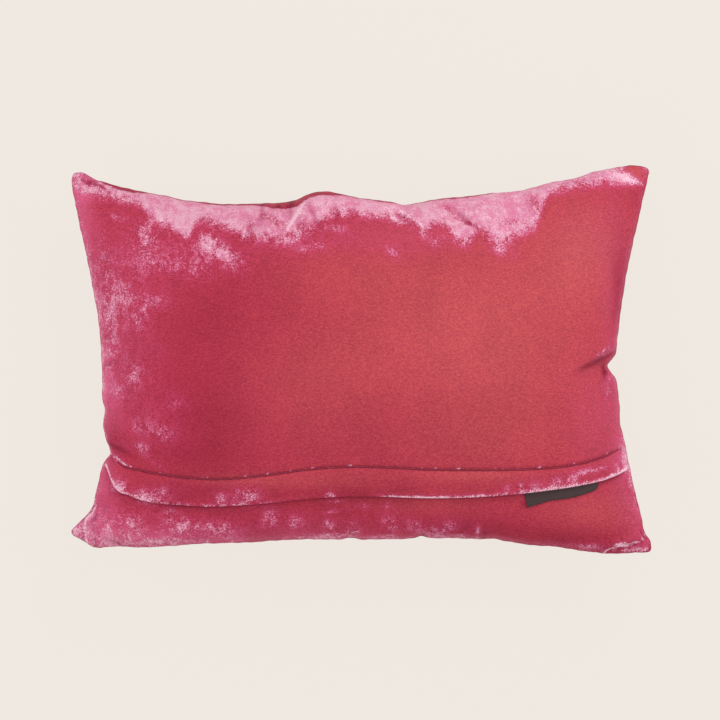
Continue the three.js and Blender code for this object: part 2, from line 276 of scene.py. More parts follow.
# Crushed patches, whose pale is in part a painted sheen: x, y, reach along, reach across,
# angle from +X, coverage.
CRUSHED_SHEEN: Table = (
    (-222, 134, 16, 10, 35, 0.42), (-216, 119, 10, 8, 40, 0.45), (-250, 146, 12, 4, -10, 0.35),
    (-156, 119, 10, 9, -40, 0.8), (-137, 105, 19, 8, -38, 0.9), (-170, 92, 30, 14, 0, 0.3),
    (-214, 98, 15, 10, 0, 0.24), (-243, 65, 15, 13, 0, 0.35), (-255, 42, 10, 24, 0, 0.28),
    (-224, 45, 9, 15, -15, 0.42), (-207, 60, 13, 9, 0, 0.35), (-263, 92, 9, 50, 8, 0.32),
    (-256, 10, 10, 26, 0, 0.32), (-232, -14, 16, 12, 0, 0.24), (-247, -30, 16, 12, 0, 0.3),
    (-202, -75, 13, 10, -50, 0.46), (-223, -90, 9, 5, -20, 0.45), (-226, -68, 13, 9, 0, 0.24),
    (-190, -45, 14, 10, 0, 0.25), (-212, -104, 20, 3, -35, 0.3), (42, 141, 16, 6, -20, 0.6),
    (33, 108, 10, 7, -30, 0.38), (-26, 134, 18, 5, 0, 0.42), (-43, 116, 7, 5, 0, 0.35),
    (-59, 112, 9, 5, 0, 0.3), (79, 122, 9, 7, 0, 0.45), (144, 114, 14, 9, -20, 0.62),
    (-238, 105, 34, 50, 0, 0.23), (-246, 50, 30, 50, 0, 0.2), (-232, -20, 34, 50, 0, 0.2),
    (-212, -72, 34, 30, -30, 0.13), (-180, 108, 40, 26, 0, 0.24), (-120, 112, 60, 16, 0, 0.16),
    (-40, 122, 60, 12, 0, 0.18), (60, 118, 60, 12, 0, 0.16), (-236, -166, 40, 22, 0, 0.27),
    (-250, -181, 60, 10, 0, 0.4), (-150, -168, 60, 18, 0, 0.14), (-40, -166, 60, 18, 0, 0.06),
    (80, -172, 60, 12, 0, 0.12), (-190, -136, 60, 10, 5, 0.05), (200, -124, 60, 8, 10, 0.14),
    (-266, -160, 15, 34, 8, 0.35), (-286, -175, 9, 8, 0, 0.45), (283, -193, 12, 3, 10, 0.45),
    (-230, -173, 14, 10, 0, 0.5), (-200, -186, 60, 4, 2, 0.5), (-194, -155, 7, 3, 0, 0.4),
    (-182, -170, 18, 9, -12, 0.55), (-150, -174, 26, 8, 0, 0.5), (-92, -163, 9, 12, 0, 0.5),
    (-66, -166, 12, 9, 0, 0.45), (-32, -169, 7, 6, 0, 0.6), (-8, -172, 9, 10, 0, 0.5),
    (-36, -180, 26, 4, 3, 0.6), (30, -167, 11, 10, 0, 0.45), (27, -149, 6, 5, 0, 0.35),
    (3, -150, 5, 4, 0, 0.4), (-24, -145, 10, 2, 0, 0.45), (-24, -154, 15, 2, 12, 0.45),
    (53, -169, 9, 7, 0, 0.45), (76, -175, 13, 7, 0, 0.5), (120, -176, 3, 6, 0, 0.55),
    (92, -169, 8, 6, 0, 0.3), (24, -181, 12, 3, 0, 0.5), (102, -181, 6, 3, 0, 0.45),
    (-247, -103, 9, 2, -42, 0.75), (-246, -129, 9, 9, -50, 0.7), (-220, -140, 10, 6, -25, 0.7),
    (-205, -137, 14, 9, -10, 0.45), (-143, -142, 6, 7, 0, 0.5), (-116, -139, 16, 9, 0, 0.6),
    (-31, -138, 5, 4, 0, 0.5), (200, -125, 7, 6, 0, 0.5), (218, -120, 9, 6, 20, 0.5),
    (237, -113, 18, 3, 10, 0.7), (262, -112, 3, 8, 5, 0.5), (163, -131, 3, 7, 0, 0.6),
    (150, -131, 5, 4, 0, 0.4), (178, -128, 8, 7, 0, 0.3), (271, -103, 6, 15, 15, 0.7),
    (268, -88, 4, 16, 15, 0.5), (252, -30, 6, 22, -8, 0.4), (250, 6, 12, 2, 30, 0.5),
    (234, -190, 18, 3, -5, 0.45), (277, -194, 16, 2, 4, 0.6), (277, -135, 3, 20, 15, 0.35),
    (-272, 174, 14, 5, -30, 0.5),
)
# Places in them where the pile stands: the same, with how far it does.
SMOOTH: Table = (
    (280, 194, 15, 8, -18, 1), (-71, 127, 6, 3, 0, 0.7), (93, 150, 10, 2, -45, 0.6),
    (108, 140, 9, 2, -25, 0.6), (-112, 131, 3, 15, 10, 0.4), (-273, 180, 17, 6, -25, 0.5),
    (-236, 154, 12, 3, -20, 0.4), (160, 140, 20, 3, 2, 0.25), (-82, 138, 10, 4, -30, 0.42),
    (-97, 146, 5, 4, 0, 0.3), (-60, 138, 6, 3, 40, 0.35), (178, 158, 8, 12, 30, 0.25),
)
# Painted highlight along the flap's free edge, where its pile catches light: x, strength.
EDGE_HIGHLIGHT: Table = (
    (-262, 0.9), (-250, 0.8), (-236, 0.7), (-215, 0.6), (-190, 0.45), (-150, 0.4), (-120, 0.3),
    (-60, 0.15), (-40, 0.1), (-32, 0.45), (-20, 0.1), (12, 0.15), (30, 0.75), (60, 0.95), (85, 0.9),
    (100, 0.6), (125, 0.75), (150, 0.5), (170, 0.6), (200, 0.7), (240, 0.85), (262, 0.9),
    (275, 0.8),
)
# Soft spots of coral, in part painted light from the upper right: x, y, reach along,
# reach across, angle, strength.
CORAL_AND_LIGHT: Table = (
    (150, 35, 105, 118, 0, 0.68), (234, 112, 46, 52, 0, 0.5), (215, 105, 40, 50, 0, 0.25),
    (40, 30, 112, 82, 0, 0.42), (-62, -31, 82, 61, 0, 0.4), (160, -41, 80, 46, 0, 0.08),
    (-21, 91, 82, 31, 0, 0.3), (-123, -124, 63, 6, 0, 0.5), (112, -119, 61, 6, 0, 0.55),
    (236, -155, 46, 20, 0, 0.5), (61, -148, 61, 12, 0, 0.35), (280, 192, 16, 10, 0, 0.95),
    (101, -82, 122, 31, 0, 0.25), (-31, -121, 61, 10, 0, 0.3),
)
# Soft spots of deep crimson, in part painted shade.
DEEP_AND_SHADE: Table = (
    (-148, 61, 61, 92, 0, 0.2), (112, -175, 61, 14, 0, 0.6), (20, -159, 61, 20, 0, 0.2),
    (-103, -164, 122, 20, 0, 0.3), (214, -185, 61, 12, 0, 0.45), (-200, -45, 40, 70, 0, 0.25),
    (266, 61, 12, 71, 0, 0.75), (-256, -82, 14, 16, 0, 0.4), (-1, -137, 61, 6, 0, 0.3),
    (-179, -97, 61, 16, 0, 0.3), (-175, -133, 50, 12, 0, 0.4), (-150, -60, 50, 44, 0, 0.34),
    (-120, 0, 90, 110, 0, 0.14), (10, -75, 90, 36, 0, 0.2),
)
# Soft spots of rose, in part painted sheen along the rims.
ROSY_AND_SHEEN: Table = (
    (-279, 61, 14, 132, 4, 0.85), (-288, 173, 14, 22, 0, 0.6), (-262, -31, 20, 55, 0, 0.65),
    (-240, 110, 46, 50, 0, 0.1), (-232, 20, 40, 60, 0, 0.1), (267, -82, 12, 61, 0, 0.4),
    (262, 60, 14, 90, 0, 0.3), (232, 128, 30, 34, 0, 0.12), (-268, -150, 17, 40, 0, 0.9),
    (-240, -182, 70, 12, 0, 0.8), (285, -143, 16, 51, 0, 0.4), (-150, -184, 80, 9, 0, 0.5),
    (244, -70, 30, 60, 0, 0.15), (40, 132, 80, 12, 0, 0.12), (-60, -176, 60, 9, 0, 0.3),
    (-286, -176, 12, 10, 0, 0.6),
)
# The closure's two lines as the photograph shows them: x, y.
STITCH_LINE: Table = (
    (-262, -90), (-255, -93), (-247, -104), (-225, -112.5), (-204, -117), (-184, -120),
    (-142, -122), (-95, -118), (-60, -113), (-20, -109.7), (30, -110.3), (63, -112), (103, -112.7),
    (179, -111.5), (205, -109.5), (231, -104.5), (256, -95.5), (268, -89), (280, -83),
)
FREE_EDGE: Table = (
    (-264, -104), (-260, -109), (-253, -127), (-236, -139), (-216, -145.5), (-184, -148.7),
    (-152, -150.5), (-122, -149), (-90, -146.5), (-59, -143), (-20, -140.3), (20, -140.3),
    (65, -141.7), (100, -141.5), (142, -139.2), (194, -133.6), (226, -128.5), (251, -122.5),
    (266, -116), (278, -108),
)
# Painted shade in tucks, by the label and in other shaded places: x, y, reach, strength.
TUCK_SHADE: Table = (
    (-84, 156, 2.2, 1.5), (-70, 159.5, 2.4, 1.5), (-276, 180.5, 1.6, 0.8), (-271, 178, 1.6, 0.8),
    (289.5, -179.5, 1.6, 0.8), (164, -146, 4.5, 0.45), (249, -13, 2.2, 0.8),
)
# The flap's rolled free edge, from its underside to its top: how far past its depth, height.
HEM_NOSE: Table = (
    (-0.75, -2.6), (-0.15, -1.9), (0.1, -1.1), (-0.1, -0.35), (-0.7, 0.2), (-1.8, 0.55),
)
# The flap's top where it turns down into the stitch line: depth, height.
HEM_TOP: Table = ((4.4, 0.15), (3, -0.45), (1.9, -1.1), (1.2, -1.8), (0.8, -2.5))
# How much of the label shows below the flap: place along it, width.
LABEL_SHOWING: Table = ((0, 16.5), (0.3, 12.6), (0.72, 11.2), (1, 7.5))


@dataclass(frozen=True)
class SeamOutline:
    """The course of the edge seam round the filled pillow, and the plan that it spans."""

    width: float = 600.0
    height: float = 400.0
    swell_reach: float = 45.0
    corner_fade: float = 30.0
    raised_by: float = 0.6

    def from_seam(self, side: Side, s: Grid, t: Grid) -> Grid:
        """Distance from a side on the cut cloth.

        Args:
            side: Which side.
            s: Places along the pillow, from -1 to 1.
            t: Places across it, from -1 to 1.

        Returns:
            The distances, in millimetres.
        """
        across = t if side in (Side.TOP, Side.BOTTOM) else s
        reach = self.height / 2 if side in (Side.TOP, Side.BOTTOM) else self.width / 2
        return reach * (1 - across if side in (Side.TOP, Side.RIGHT) else 1 + across)

    def nearest_seam(self, s: Grid, t: Grid) -> Grid:
        """Distance from the nearest side on the cut cloth."""
        s, t = np.broadcast_arrays(s, t)
        return np.minimum.reduce([self.from_seam(side, s, t) for side in Side])

    def side_point(self, side: Side, u: Grid) -> Grid:
        """Points of a side's smooth bow.

        Args:
            side: Which side.
            u: Places along it, from -1 at its start to 1 at its end.

        Returns:
            The points.
        """
        bow = BOWS[side]
        share = ((u + 1) / 2)[..., None]
        inward = (bow.drawn_in * (1 - np.abs(u) ** bow.power))[..., None]
        out = np.array((*side.value, 0.0))
        return (1 - share) * np.array(bow.start) + share * np.array(bow.end) - inward * out

    def spanned(self, s: Grid, t: Grid) -> Grid:
        """Points of the sheet that the four bows span.

        Args:
            s: Places along the pillow.
            t: Places across it.

        Returns:
            The points.
        """
        s, t = np.broadcast_arrays(s, t)
        a = ((s + 1) / 2)[..., None]
        b = ((t + 1) / 2)[..., None]
        lower = (1 - a) * np.array(BOTTOM_LEFT) + a * np.array(BOTTOM_RIGHT)
        upper = (1 - a) * np.array(TOP_LEFT) + a * np.array(TOP_RIGHT)
        across = (1 - b) * self.side_point(Side.BOTTOM, s) + b * self.side_point(Side.TOP, s)
        along = (1 - a) * self.side_point(Side.LEFT, t) + a * self.side_point(Side.RIGHT, t)
        return across + along - (1 - b) * lower - b * upper

    def swollen(self, s: Grid, t: Grid) -> Grid:
        """Points of the spanned sheet, moved by the swells of the sides near them.

        Args:
            s: Places along the pillow.
            t: Places across it.

        Returns:
            The points.
        """
        points = self.spanned(s, t).copy()
        s, t = np.broadcast_arrays(s, t)
        for side, rows in SWELLS.items():
            u = s if side in (Side.TOP, Side.BOTTOM) else t
            fade = (1 - np.abs(u) ** self.corner_fade) * np.exp(
                -self.from_seam(side, s, t) / self.swell_reach
            )
            for at, height, width in rows:
                amount = height * bump(u, at, width) * fade
                points[..., 0] += side.value[0] * amount
                points[..., 1] += side.value[1] * amount
        return points

    def middle(self) -> Grid:
        """Finds what lies over the origin.

        Returns:
            The place in plan, just below the middle of the outline's box.
        """
        u = np.linspace(-1, 1, 801)
        one = np.ones_like(u)
        rim = np.concatenate([self.swollen(u, one), self.swollen(u, -one),
                              self.swollen(one, u), self.swollen(-one, u)])
        low, high = rim.min(0), rim.max(0)
        return np.array([(low[0] + high[0]) / 2, (low[1] + high[1]) / 2 - self.raised_by, 0.0])

    def place(self, s: Grid, t: Grid) -> Grid:
        """Points of the swollen sheet in the frame's place."""
        return self.swollen(s, t) - self.middle()


@dataclass(frozen=True)
class Fullness:
    """How far the filling holds each panel off the seam's level, and how it falls off."""

    closure: float = 64.0
    face: float = 76.0
    end_power: float = 3.0
    side_power: float = 2.4
    power: float = 0.56

    def share(self, s: Grid, t: Grid) -> Grid:
        """How high the filling holds a panel.

        Args:
            s: Places along the pillow.
            t: Places across it.

        Returns:
            1 at the middle of a panel and 0 at its seam.
        """
        ends = np.maximum(0, 1 - np.abs(s) ** self.end_power)
        sides = np.maximum(0, 1 - np.abs(t) ** self.side_power)
        return (ends * sides) ** self.power


def along_grid(at: Grid, cells: int) -> tuple[Grid, Grid]:
    """Four neighbours and their weights for a smooth curve through evenly spaced values.

    Args:
        at: Places, in cells from the grid's first value.
        cells: How many cells the grid has.

    Returns:
        Places of the neighbours in a grid padded by one, and their weights.
    """
    first = np.clip(np.floor(at).astype(int), 0, cells - 1)
    x = at - first
    weights = np.stack([
        -0.5 * x + x**2 - 0.5 * x**3,
        1 - 2.5 * x**2 + 1.5 * x**3,
        0.5 * x + 2 * x**2 - 1.5 * x**3,
        -0.5 * x**2 + 0.5 * x**3,
    ], -1)
    return first[..., None] + np.arange(4), weights


@dataclass
class FilledPanels:
    """Both panels of the filled pillow as even grids of points over the cut cloth."""

    grids: dict[Panel, Grid]

    def at(self, panel: Panel, s: Grid, t: Grid) -> Grid:
        """Points of a panel at any places of the cut cloth.

        Args:
            panel: Which panel.
            s: Places along the pillow, from -1 to 1.
            t: Places across it, from -1 to 1.

        Returns:
            The points, in millimetres.
        """
        s, t = np.broadcast_arrays(s, t)
        grid = self.grids[panel]
        rows, columns = grid.shape[0] - 1, grid.shape[1] - 1
        wide = np.concatenate([2 * grid[:1] - grid[1:2], grid, 2 * grid[-1:] - grid[-2:-1]], 0)
        wide = np.concatenate([2 * wide[:, :1] - wide[:, 1:2], wide,
                               2 * wide[:, -1:] - wide[:, -2:-1]], 1)
        row, row_weight = along_grid((t + 1) / 2 * rows, rows)
        column, column_weight = along_grid((s + 1) / 2 * columns, columns)
        near = wide[row[..., :, None], column[..., None, :]]
        return np.einsum("...i,...j,...ijk->...k", row_weight, column_weight, near)


@dataclass
class PillowFilling:
    """Two flat-cut panels, sewn all round and filled by Blender's Cloth under pressure.

    The seam is pinned. A shape key draws it in from the cut outline to the filled pillow's.
    """

    outline: SeamOutline
    fullness: Fullness
    columns: int = 96
    rows: int = 64
    frames: int = 40
    drawn_in_by: int = 25
    level: float = 71.0
    loft: float = 15.0
    pressure: float = 20.0
    stiffness: float = 40.0
    shear: float = 10.0
    bending: float = 2.0
    damping: float = 5.0
    finest_fold: float = 1.2
    widest_fold: float = 6.0
    fold_share: float = 0.55
    fold_cap: float = 3.5
    fold_free: float = 60.0

    def fill(self) -> FilledPanels:
        """Runs the simulation.

        Returns:
            The filled panels.
        """
        s = np.linspace(-1, 1, self.columns + 1)[None, :]
        t = np.linspace(-1, 1, self.rows + 1)[:, None]
        cloth: dict[Panel, Grid] = {}
        flat = np.stack(np.broadcast_arrays(s * self.outline.width / 2,
                                            t * self.outline.height / 2, 0 * s * t), -1)
        sewn, inner = self._sewn(flat, self.fullness.share(s, t))
        points = self._simulated(sewn, inner, self.outline.place(s, t))
        count = inner.size
        closure = points[:count].reshape(flat.shape)
        face = closure.copy()
        face[inner] = points[count:]
        cloth = {Panel.CLOSURE: closure, Panel.FACE: face}
        return FilledPanels({panel: self._folded(panel, s, t, cloth.get(panel))
                             for panel in Panel})

    def _sewn(self, flat: Grid, share: Grid) -> tuple[bpy.types.Object, Grid]:
        """Both flat panels as one mesh that shares its rim.

        Args:
            flat: The cut cloth's points.
            share: How far each point lies off the table, as a share of the loft.

        Returns:
            The cloth's object, and which points lie inside the rim.
        """
        rows, columns = flat.shape[0] - 1, flat.shape[1] - 1
        inner = np.zeros(flat.shape[:2], bool)
        inner[1:-1, 1:-1] = True
        lift = np.zeros_like(flat)
        lift[..., 2] = self.loft * share
        upper = np.arange(inner.size).reshape(inner.shape)
        lower = upper.copy()
        lower[inner] = inner.size + np.arange(inner.sum())
        points = np.concatenate([(flat + lift).reshape(-1, 3), (flat - lift)[inner]])
        faces = quads(upper) + quads(lower, flipped=True)
        cloth = mesh_object("filling_cloth", points, faces)
        pins = cloth.vertex_groups.new(name="seam")
        pins.add(upper[~inner].tolist(), 1.0, "REPLACE")
        LOG.info("filling: %d x %d cells a panel", columns, rows)
        return cloth, inner

    def _simulated(self, cloth: bpy.types.Object, inner: Grid, plan: Grid) -> Grid:
        """Draws the seam in under pressure and returns where the cloth comes to lie.

        Args:
            cloth: The sewn panels.
            inner: Which points of a panel lie inside the rim.
            plan: Where the panel's points lie in the filled pillow's plan.

        Returns:
            The cloth's points in millimetres.
        """
        scene = bpy.context.scene
        ends = np.concatenate([plan.reshape(-1, 3), plan[inner]]) - (0, 0, self.level)
        cloth.shape_key_add(name="cut")
        drawn = cloth.shape_key_add(name="drawn_in")
        drawn.data.foreach_set("co", (ends * MM).ravel())
        for frame_number, value in ((1, 0.0), (self.drawn_in_by, 1.0)):
            drawn.value = value
            drawn.keyframe_insert("value", frame=frame_number)
        modifier = cloth.modifiers.new("Cloth", "CLOTH")
        settings = {
            "quality": 6, "mass": 0.2, "tension_stiffness": self.stiffness,
            "compression_stiffness": self.stiffness, "shear_stiffness": self.shear,
            "bending_stiffness": self.bending, "tension_damping": self.damping,
            "compression_damping": self.damping, "shear_damping": self.damping,
            "bending_damping": 2.0, "air_damping": 1.0, "use_pressure": True,
            "uniform_pressure_force": self.pressure, "vertex_group_mass": "seam",
            "pin_stiffness": 1.0,
        }
        for name, value in settings.items():
            setattr(modifier.settings, name, value)
        modifier.settings.effector_weights.gravity = 0.0
        modifier.collision_settings.use_collision = False
        modifier.point_cache.frame_start = 1
        modifier.point_cache.frame_end = self.frames
        for frame_number in range(1, self.frames + 1):
            scene.frame_set(frame_number)
        filled = cloth.evaluated_get(bpy.context.evaluated_depsgraph_get()).data
        points = np.zeros(len(filled.vertices) * 3, np.float32)
        filled.vertices.foreach_get("co", points)
        mesh = cloth.data
        bpy.data.objects.remove(cloth)
        bpy.data.meshes.remove(mesh)
        for action in list(bpy.data.actions):
            bpy.data.actions.remove(action)
        scene.frame_set(1)
        return points.reshape(-1, 3).astype(float) / MM + (0, 0, self.level)

    def _folded(self, panel: Panel, s: Grid, t: Grid, cloth: Grid | None) -> Grid:
        """The filled panel's even shape, with the folds that the cloth took laid over it.

        Args:
            panel: Which panel.
            s: Places along the pillow.
            t: Places across it.
            cloth: The simulated panel's points, or None to keep the even shape.

        Returns:
            The panel's points in millimetres.
        """
        sign = 1 if panel is Panel.CLOSURE else -1
        height = self.fullness.closure if panel is Panel.CLOSURE else self.fullness.face
        points = self.outline.place(s, t)
        points[..., 2] += sign * height * self.fullness.share(s, t)
        if cloth is None:
            return points
        out = sign * np.cross(np.gradient(points, axis=1), np.gradient(points, axis=0))
        out /= np.linalg.norm(out, axis=-1, keepdims=True)
        moved = ((cloth - points) * out).sum(-1)
        folds = smoothed(moved, self.finest_fold) - smoothed(moved, self.widest_fold)
        folds = self.fold_cap * np.tanh(self.fold_share * folds / self.fold_cap)
        folds *= ease(self.outline.nearest_seam(s, t), 4, self.fold_free)
        return points + out * folds[..., None]


def smoothed(values: Grid, cells: float) -> Grid:
    """Blurs the values of a grid.

    Args:
        values: The grid.
        cells: How far, in cells.

    Returns:
        The blurred grid.
    """
    reach = int(3 * cells) + 1
    weights = bump(np.arange(-reach, reach + 1), 0, cells * math.sqrt(2))
    weights /= weights.sum()
    for axis in (0, 1):
        room = [(reach, reach) if side == axis else (0, 0) for side in (0, 1)]
        padded = np.pad(values, room, mode="edge")
        values = np.apply_along_axis(np.convolve, axis, padded, weights, "valid")
    return values


def quads(places: Grid, flipped: bool = False) -> list[tuple[int, ...]]:
    """Faces of a grid of vertex numbers, facing up where its rows run up and its columns right.

    Args:
        places: Vertex numbers by row and column.
        flipped: Faces down instead.

    Returns:
        The faces.
    """
    corners = [places[:-1, :-1], places[:-1, 1:], places[1:, 1:], places[1:, :-1]]
    if flipped:
        corners.reverse()
    return [tuple(face) for face in np.stack(corners, -1).reshape(-1, 4).tolist()]


def mesh_object(name: str, points: Grid, faces: list[tuple[int, ...]]) -> bpy.types.Object:
    """A new object at the origin, with a mesh of the given points.

    Args:
        name: The object's name.
        points: Its vertices in millimetres.
        faces: Its faces.

    Returns:
        The object, in the scene.
    """
    mesh = bpy.data.meshes.new(name)
    mesh.from_pydata((np.asarray(points) * MM).tolist(), [], faces)
    mesh.validate()
    mesh.shade_smooth()
    made = bpy.data.objects.new(name, mesh)
    bpy.context.scene.collection.objects.link(made)
    return made


@dataclass(frozen=True)
class PhotoView:
    """The camera straight above the pillow. Its picture is true to size at the seam's level."""

    height: float = 2518.0
    level: float = 70.0
    aside: float = -0.5
    below: float = -0.5
    lens: float = 120.0

    def plan(self, points: Grid) -> Grid:
        """Where points appear from above, in millimetres at the seam's level."""
        shrink = (self.height - self.level) / (self.height - points[..., 2:3])
        return points[..., :2] * shrink

    def make(self) -> None:
        """Adds the camera and makes it the scene's."""
        camera = bpy.data.cameras.new("photo_camera")
        camera.lens = self.lens
        camera.clip_end = 20.0
        holder = bpy.data.objects.new("photo_camera", camera)
        holder.location = Vector((self.aside, self.below, self.height)) * MM
        bpy.context.scene.collection.objects.link(holder)
        bpy.context.scene.camera = holder


@dataclass
class PillowShape:
    """The filled pillow's surface before its closure is pressed in."""

    outline: SeamOutline
    fullness: Fullness
    panels: FilledPanels
    view: PhotoView
    tip_radius: float = 4.5
    strip_groove: float = 2.2
    ear_width: float = 9.0
    ear_bulge: float = 3.5
    crease_fullness: float = 0.45
    pucker_height: float = 0.8
    pucker_reach: float = 13.0
    pucker_near: float = 4.0
    pucker_lengths: tuple[float, ...] = (11.0, 17.0, 29.0)
    lull_lengths: tuple[float, ...] = (70.0, 110.0)
    seam_wander: float = 0.22
    wander_lengths: tuple[float, ...] = (13.0, 21.0, 37.0)
    floor_ease: float = 3.0
    slope_step: float = 0.004

    def surface(self, panel: Panel, s: Grid, t: Grid) -> Grid:
        """Points of a panel in millimetres.

        Args:
            panel: Which panel.
            s: Places along the pillow, from -1 to 1 over the cut cloth.
            t: Places across it.

        Returns:
            The points.
        """
        s, t = np.broadcast_arrays(s, t)
        points = self.panels.at(panel, s, t)
        points = self._puckered(panel, points, s, t)
        self._round_tips(points, s, t)
        if panel is Panel.CLOSURE:
            fade = np.minimum(1, self.fullness.share(s, t) / self.crease_fullness)
            plan = self.view.plan(points)
            points[..., 2] += (self.raised(plan, FOLDS) + self.raised(plan, CREASES)) * fade
            past, width = self.beyond_seam(points, s)
            size = np.minimum(1, width / self.ear_width)
            points[..., 2] -= self.strip_groove * size * bump(past, 0.3, 1.6)
            points[..., 2] += self.ear_bulge * ease(size, 0.9, 1) * bump(past, -8, 6)
        height, soft = points[..., 2], self.floor_ease
        pressed = np.maximum(0, height + soft) ** 2 / (4 * soft)
        points[..., 2] = np.where(height < soft, pressed, height)
        return points

    def outward(self, s: Grid, t: Grid) -> Grid:
        """The way out of the closure side.

        Args:
            s: Places along the pillow.
            t: Places across it.

        Returns:
            Unit vectors.
        """
        step = self.slope_step
        s, t = np.clip(s, step * 2 - 1, 1 - step * 2), np.clip(t, step * 2 - 1, 1 - step * 2)
        side = Panel.CLOSURE
        along = self.surface(side, s + step, t) - self.surface(side, s - step, t)
        across = self.surface(side, s, t + step) - self.surface(side, s, t - step)
        normal = np.cross(along, across)
        return normal / np.linalg.norm(normal, axis=-1, keepdims=True)

    def _puckered(self, panel: Panel, points: Grid, s: Grid, t: Grid) -> Grid:
        """Gathers the cloth slightly along the seam.

        Args:
            panel: Which panel.
            points: Its points.
            s: Their places along the pillow.
            t: Their places across it.

        Returns:
            The same points, moved.
        """
        seed = 3 if panel is Panel.CLOSURE else 8
        up = 1 if panel is Panel.CLOSURE else -1
        gather = np.zeros(points.shape[:-1])
        for number, side in enumerate(Side):
            upright = side in (Side.LEFT, Side.RIGHT)
            along = t * self.outline.height / 2 if upright else s * self.outline.width / 2
            distance = self.outline.from_seam(side, s, t)
            ripple = waves(along, self.pucker_lengths, seed + number)
            swell = waves(along, self.lull_lengths, seed + number + 20)
            close = distance / self.pucker_near
            band = close * np.exp(1 - close) * 0.4 + 0.6 * np.exp(
                -((distance / self.pucker_reach - 0.6) ** 2) * 2)
            fade = np.minimum(1, distance / 2)
            gather += ripple * (0.6 + 0.4 * swell) * band * fade * ease(distance, 40, 12)
            shift = waves(along, self.wander_lengths, 50 + number) * np.exp(-distance / 5)
            shift *= self.seam_wander
            points[..., 0] += side.value[0] * shift
            points[..., 1] += side.value[1] * shift
        points[..., 2] += up * gather * self.pucker_height
        return points

    def _round_tips(self, points: Grid, s: Grid, t: Grid) -> None:
        """Rounds the pillow's four tips in plan.

        Args:
            points: Points of a panel, which are moved.
            s: Their places along the pillow.
            t: Their places across it.
        """
        half = np.array([self.outline.width, self.outline.height]) / 2
        share = np.stack([s, t], -1)
        inward = (half - self.tip_radius) / half
        corner = np.maximum(0, np.abs(share) - inward) / (1 - inward)
        near = corner.min(-1) > 0
        corner = corner[near]
        round_in = corner.max(-1, keepdims=True) / np.linalg.norm(corner, axis=-1, keepdims=True)
        kept = np.sign(share[near]) * (inward + (1 - inward) * corner * round_in)
        moved = self.outline.place(kept[:, 0], kept[:, 1]) - self.outline.place(s[near], t[near])
        points[near, :2] += moved[:, :2]

    def beyond_seam(self, points: Grid, s: Grid) -> tuple[Grid, Grid]:
        """How far places of the closure side lie beyond the seam where it has turned in.

        Args:
            points: The places.
            s: Their places along the pillow.

        Returns:
            The distances, below 0 on the closure panel, and the width of the strip there.
        """
        x, y = points[..., 0], points[..., 1]
        strip = course(TOP_STRIP, x)
        rim = self.outline.place(s, np.ones_like(s))[..., 1]
        top = np.where(strip > 0.3, strip - (rim - y), -self.ear_width)
        left = course(LEFT_TURN, y) - x
        right = course(RIGHT_TURN, x) - y
        past = np.maximum.reduce([top, left, right])
        return past, np.where(past == top, np.maximum(0, strip), self.ear_width)

    def raised(self, plan: Grid, folds: Table) -> Grid:
        """How far a table's folds move the closure side.

        Args:
            plan: Places of the plan.
            folds: The folds.

        Returns:
            The heights, below 0 where they sink it.
        """
        total = np.zeros(plan.shape[:-1])
        for x, y, angle, length, width, height in folds:
            along, across = turned(plan, x, y, angle)
            total += height * bump(across, 0, width) * bump(along, 0, length / 2)
        return total


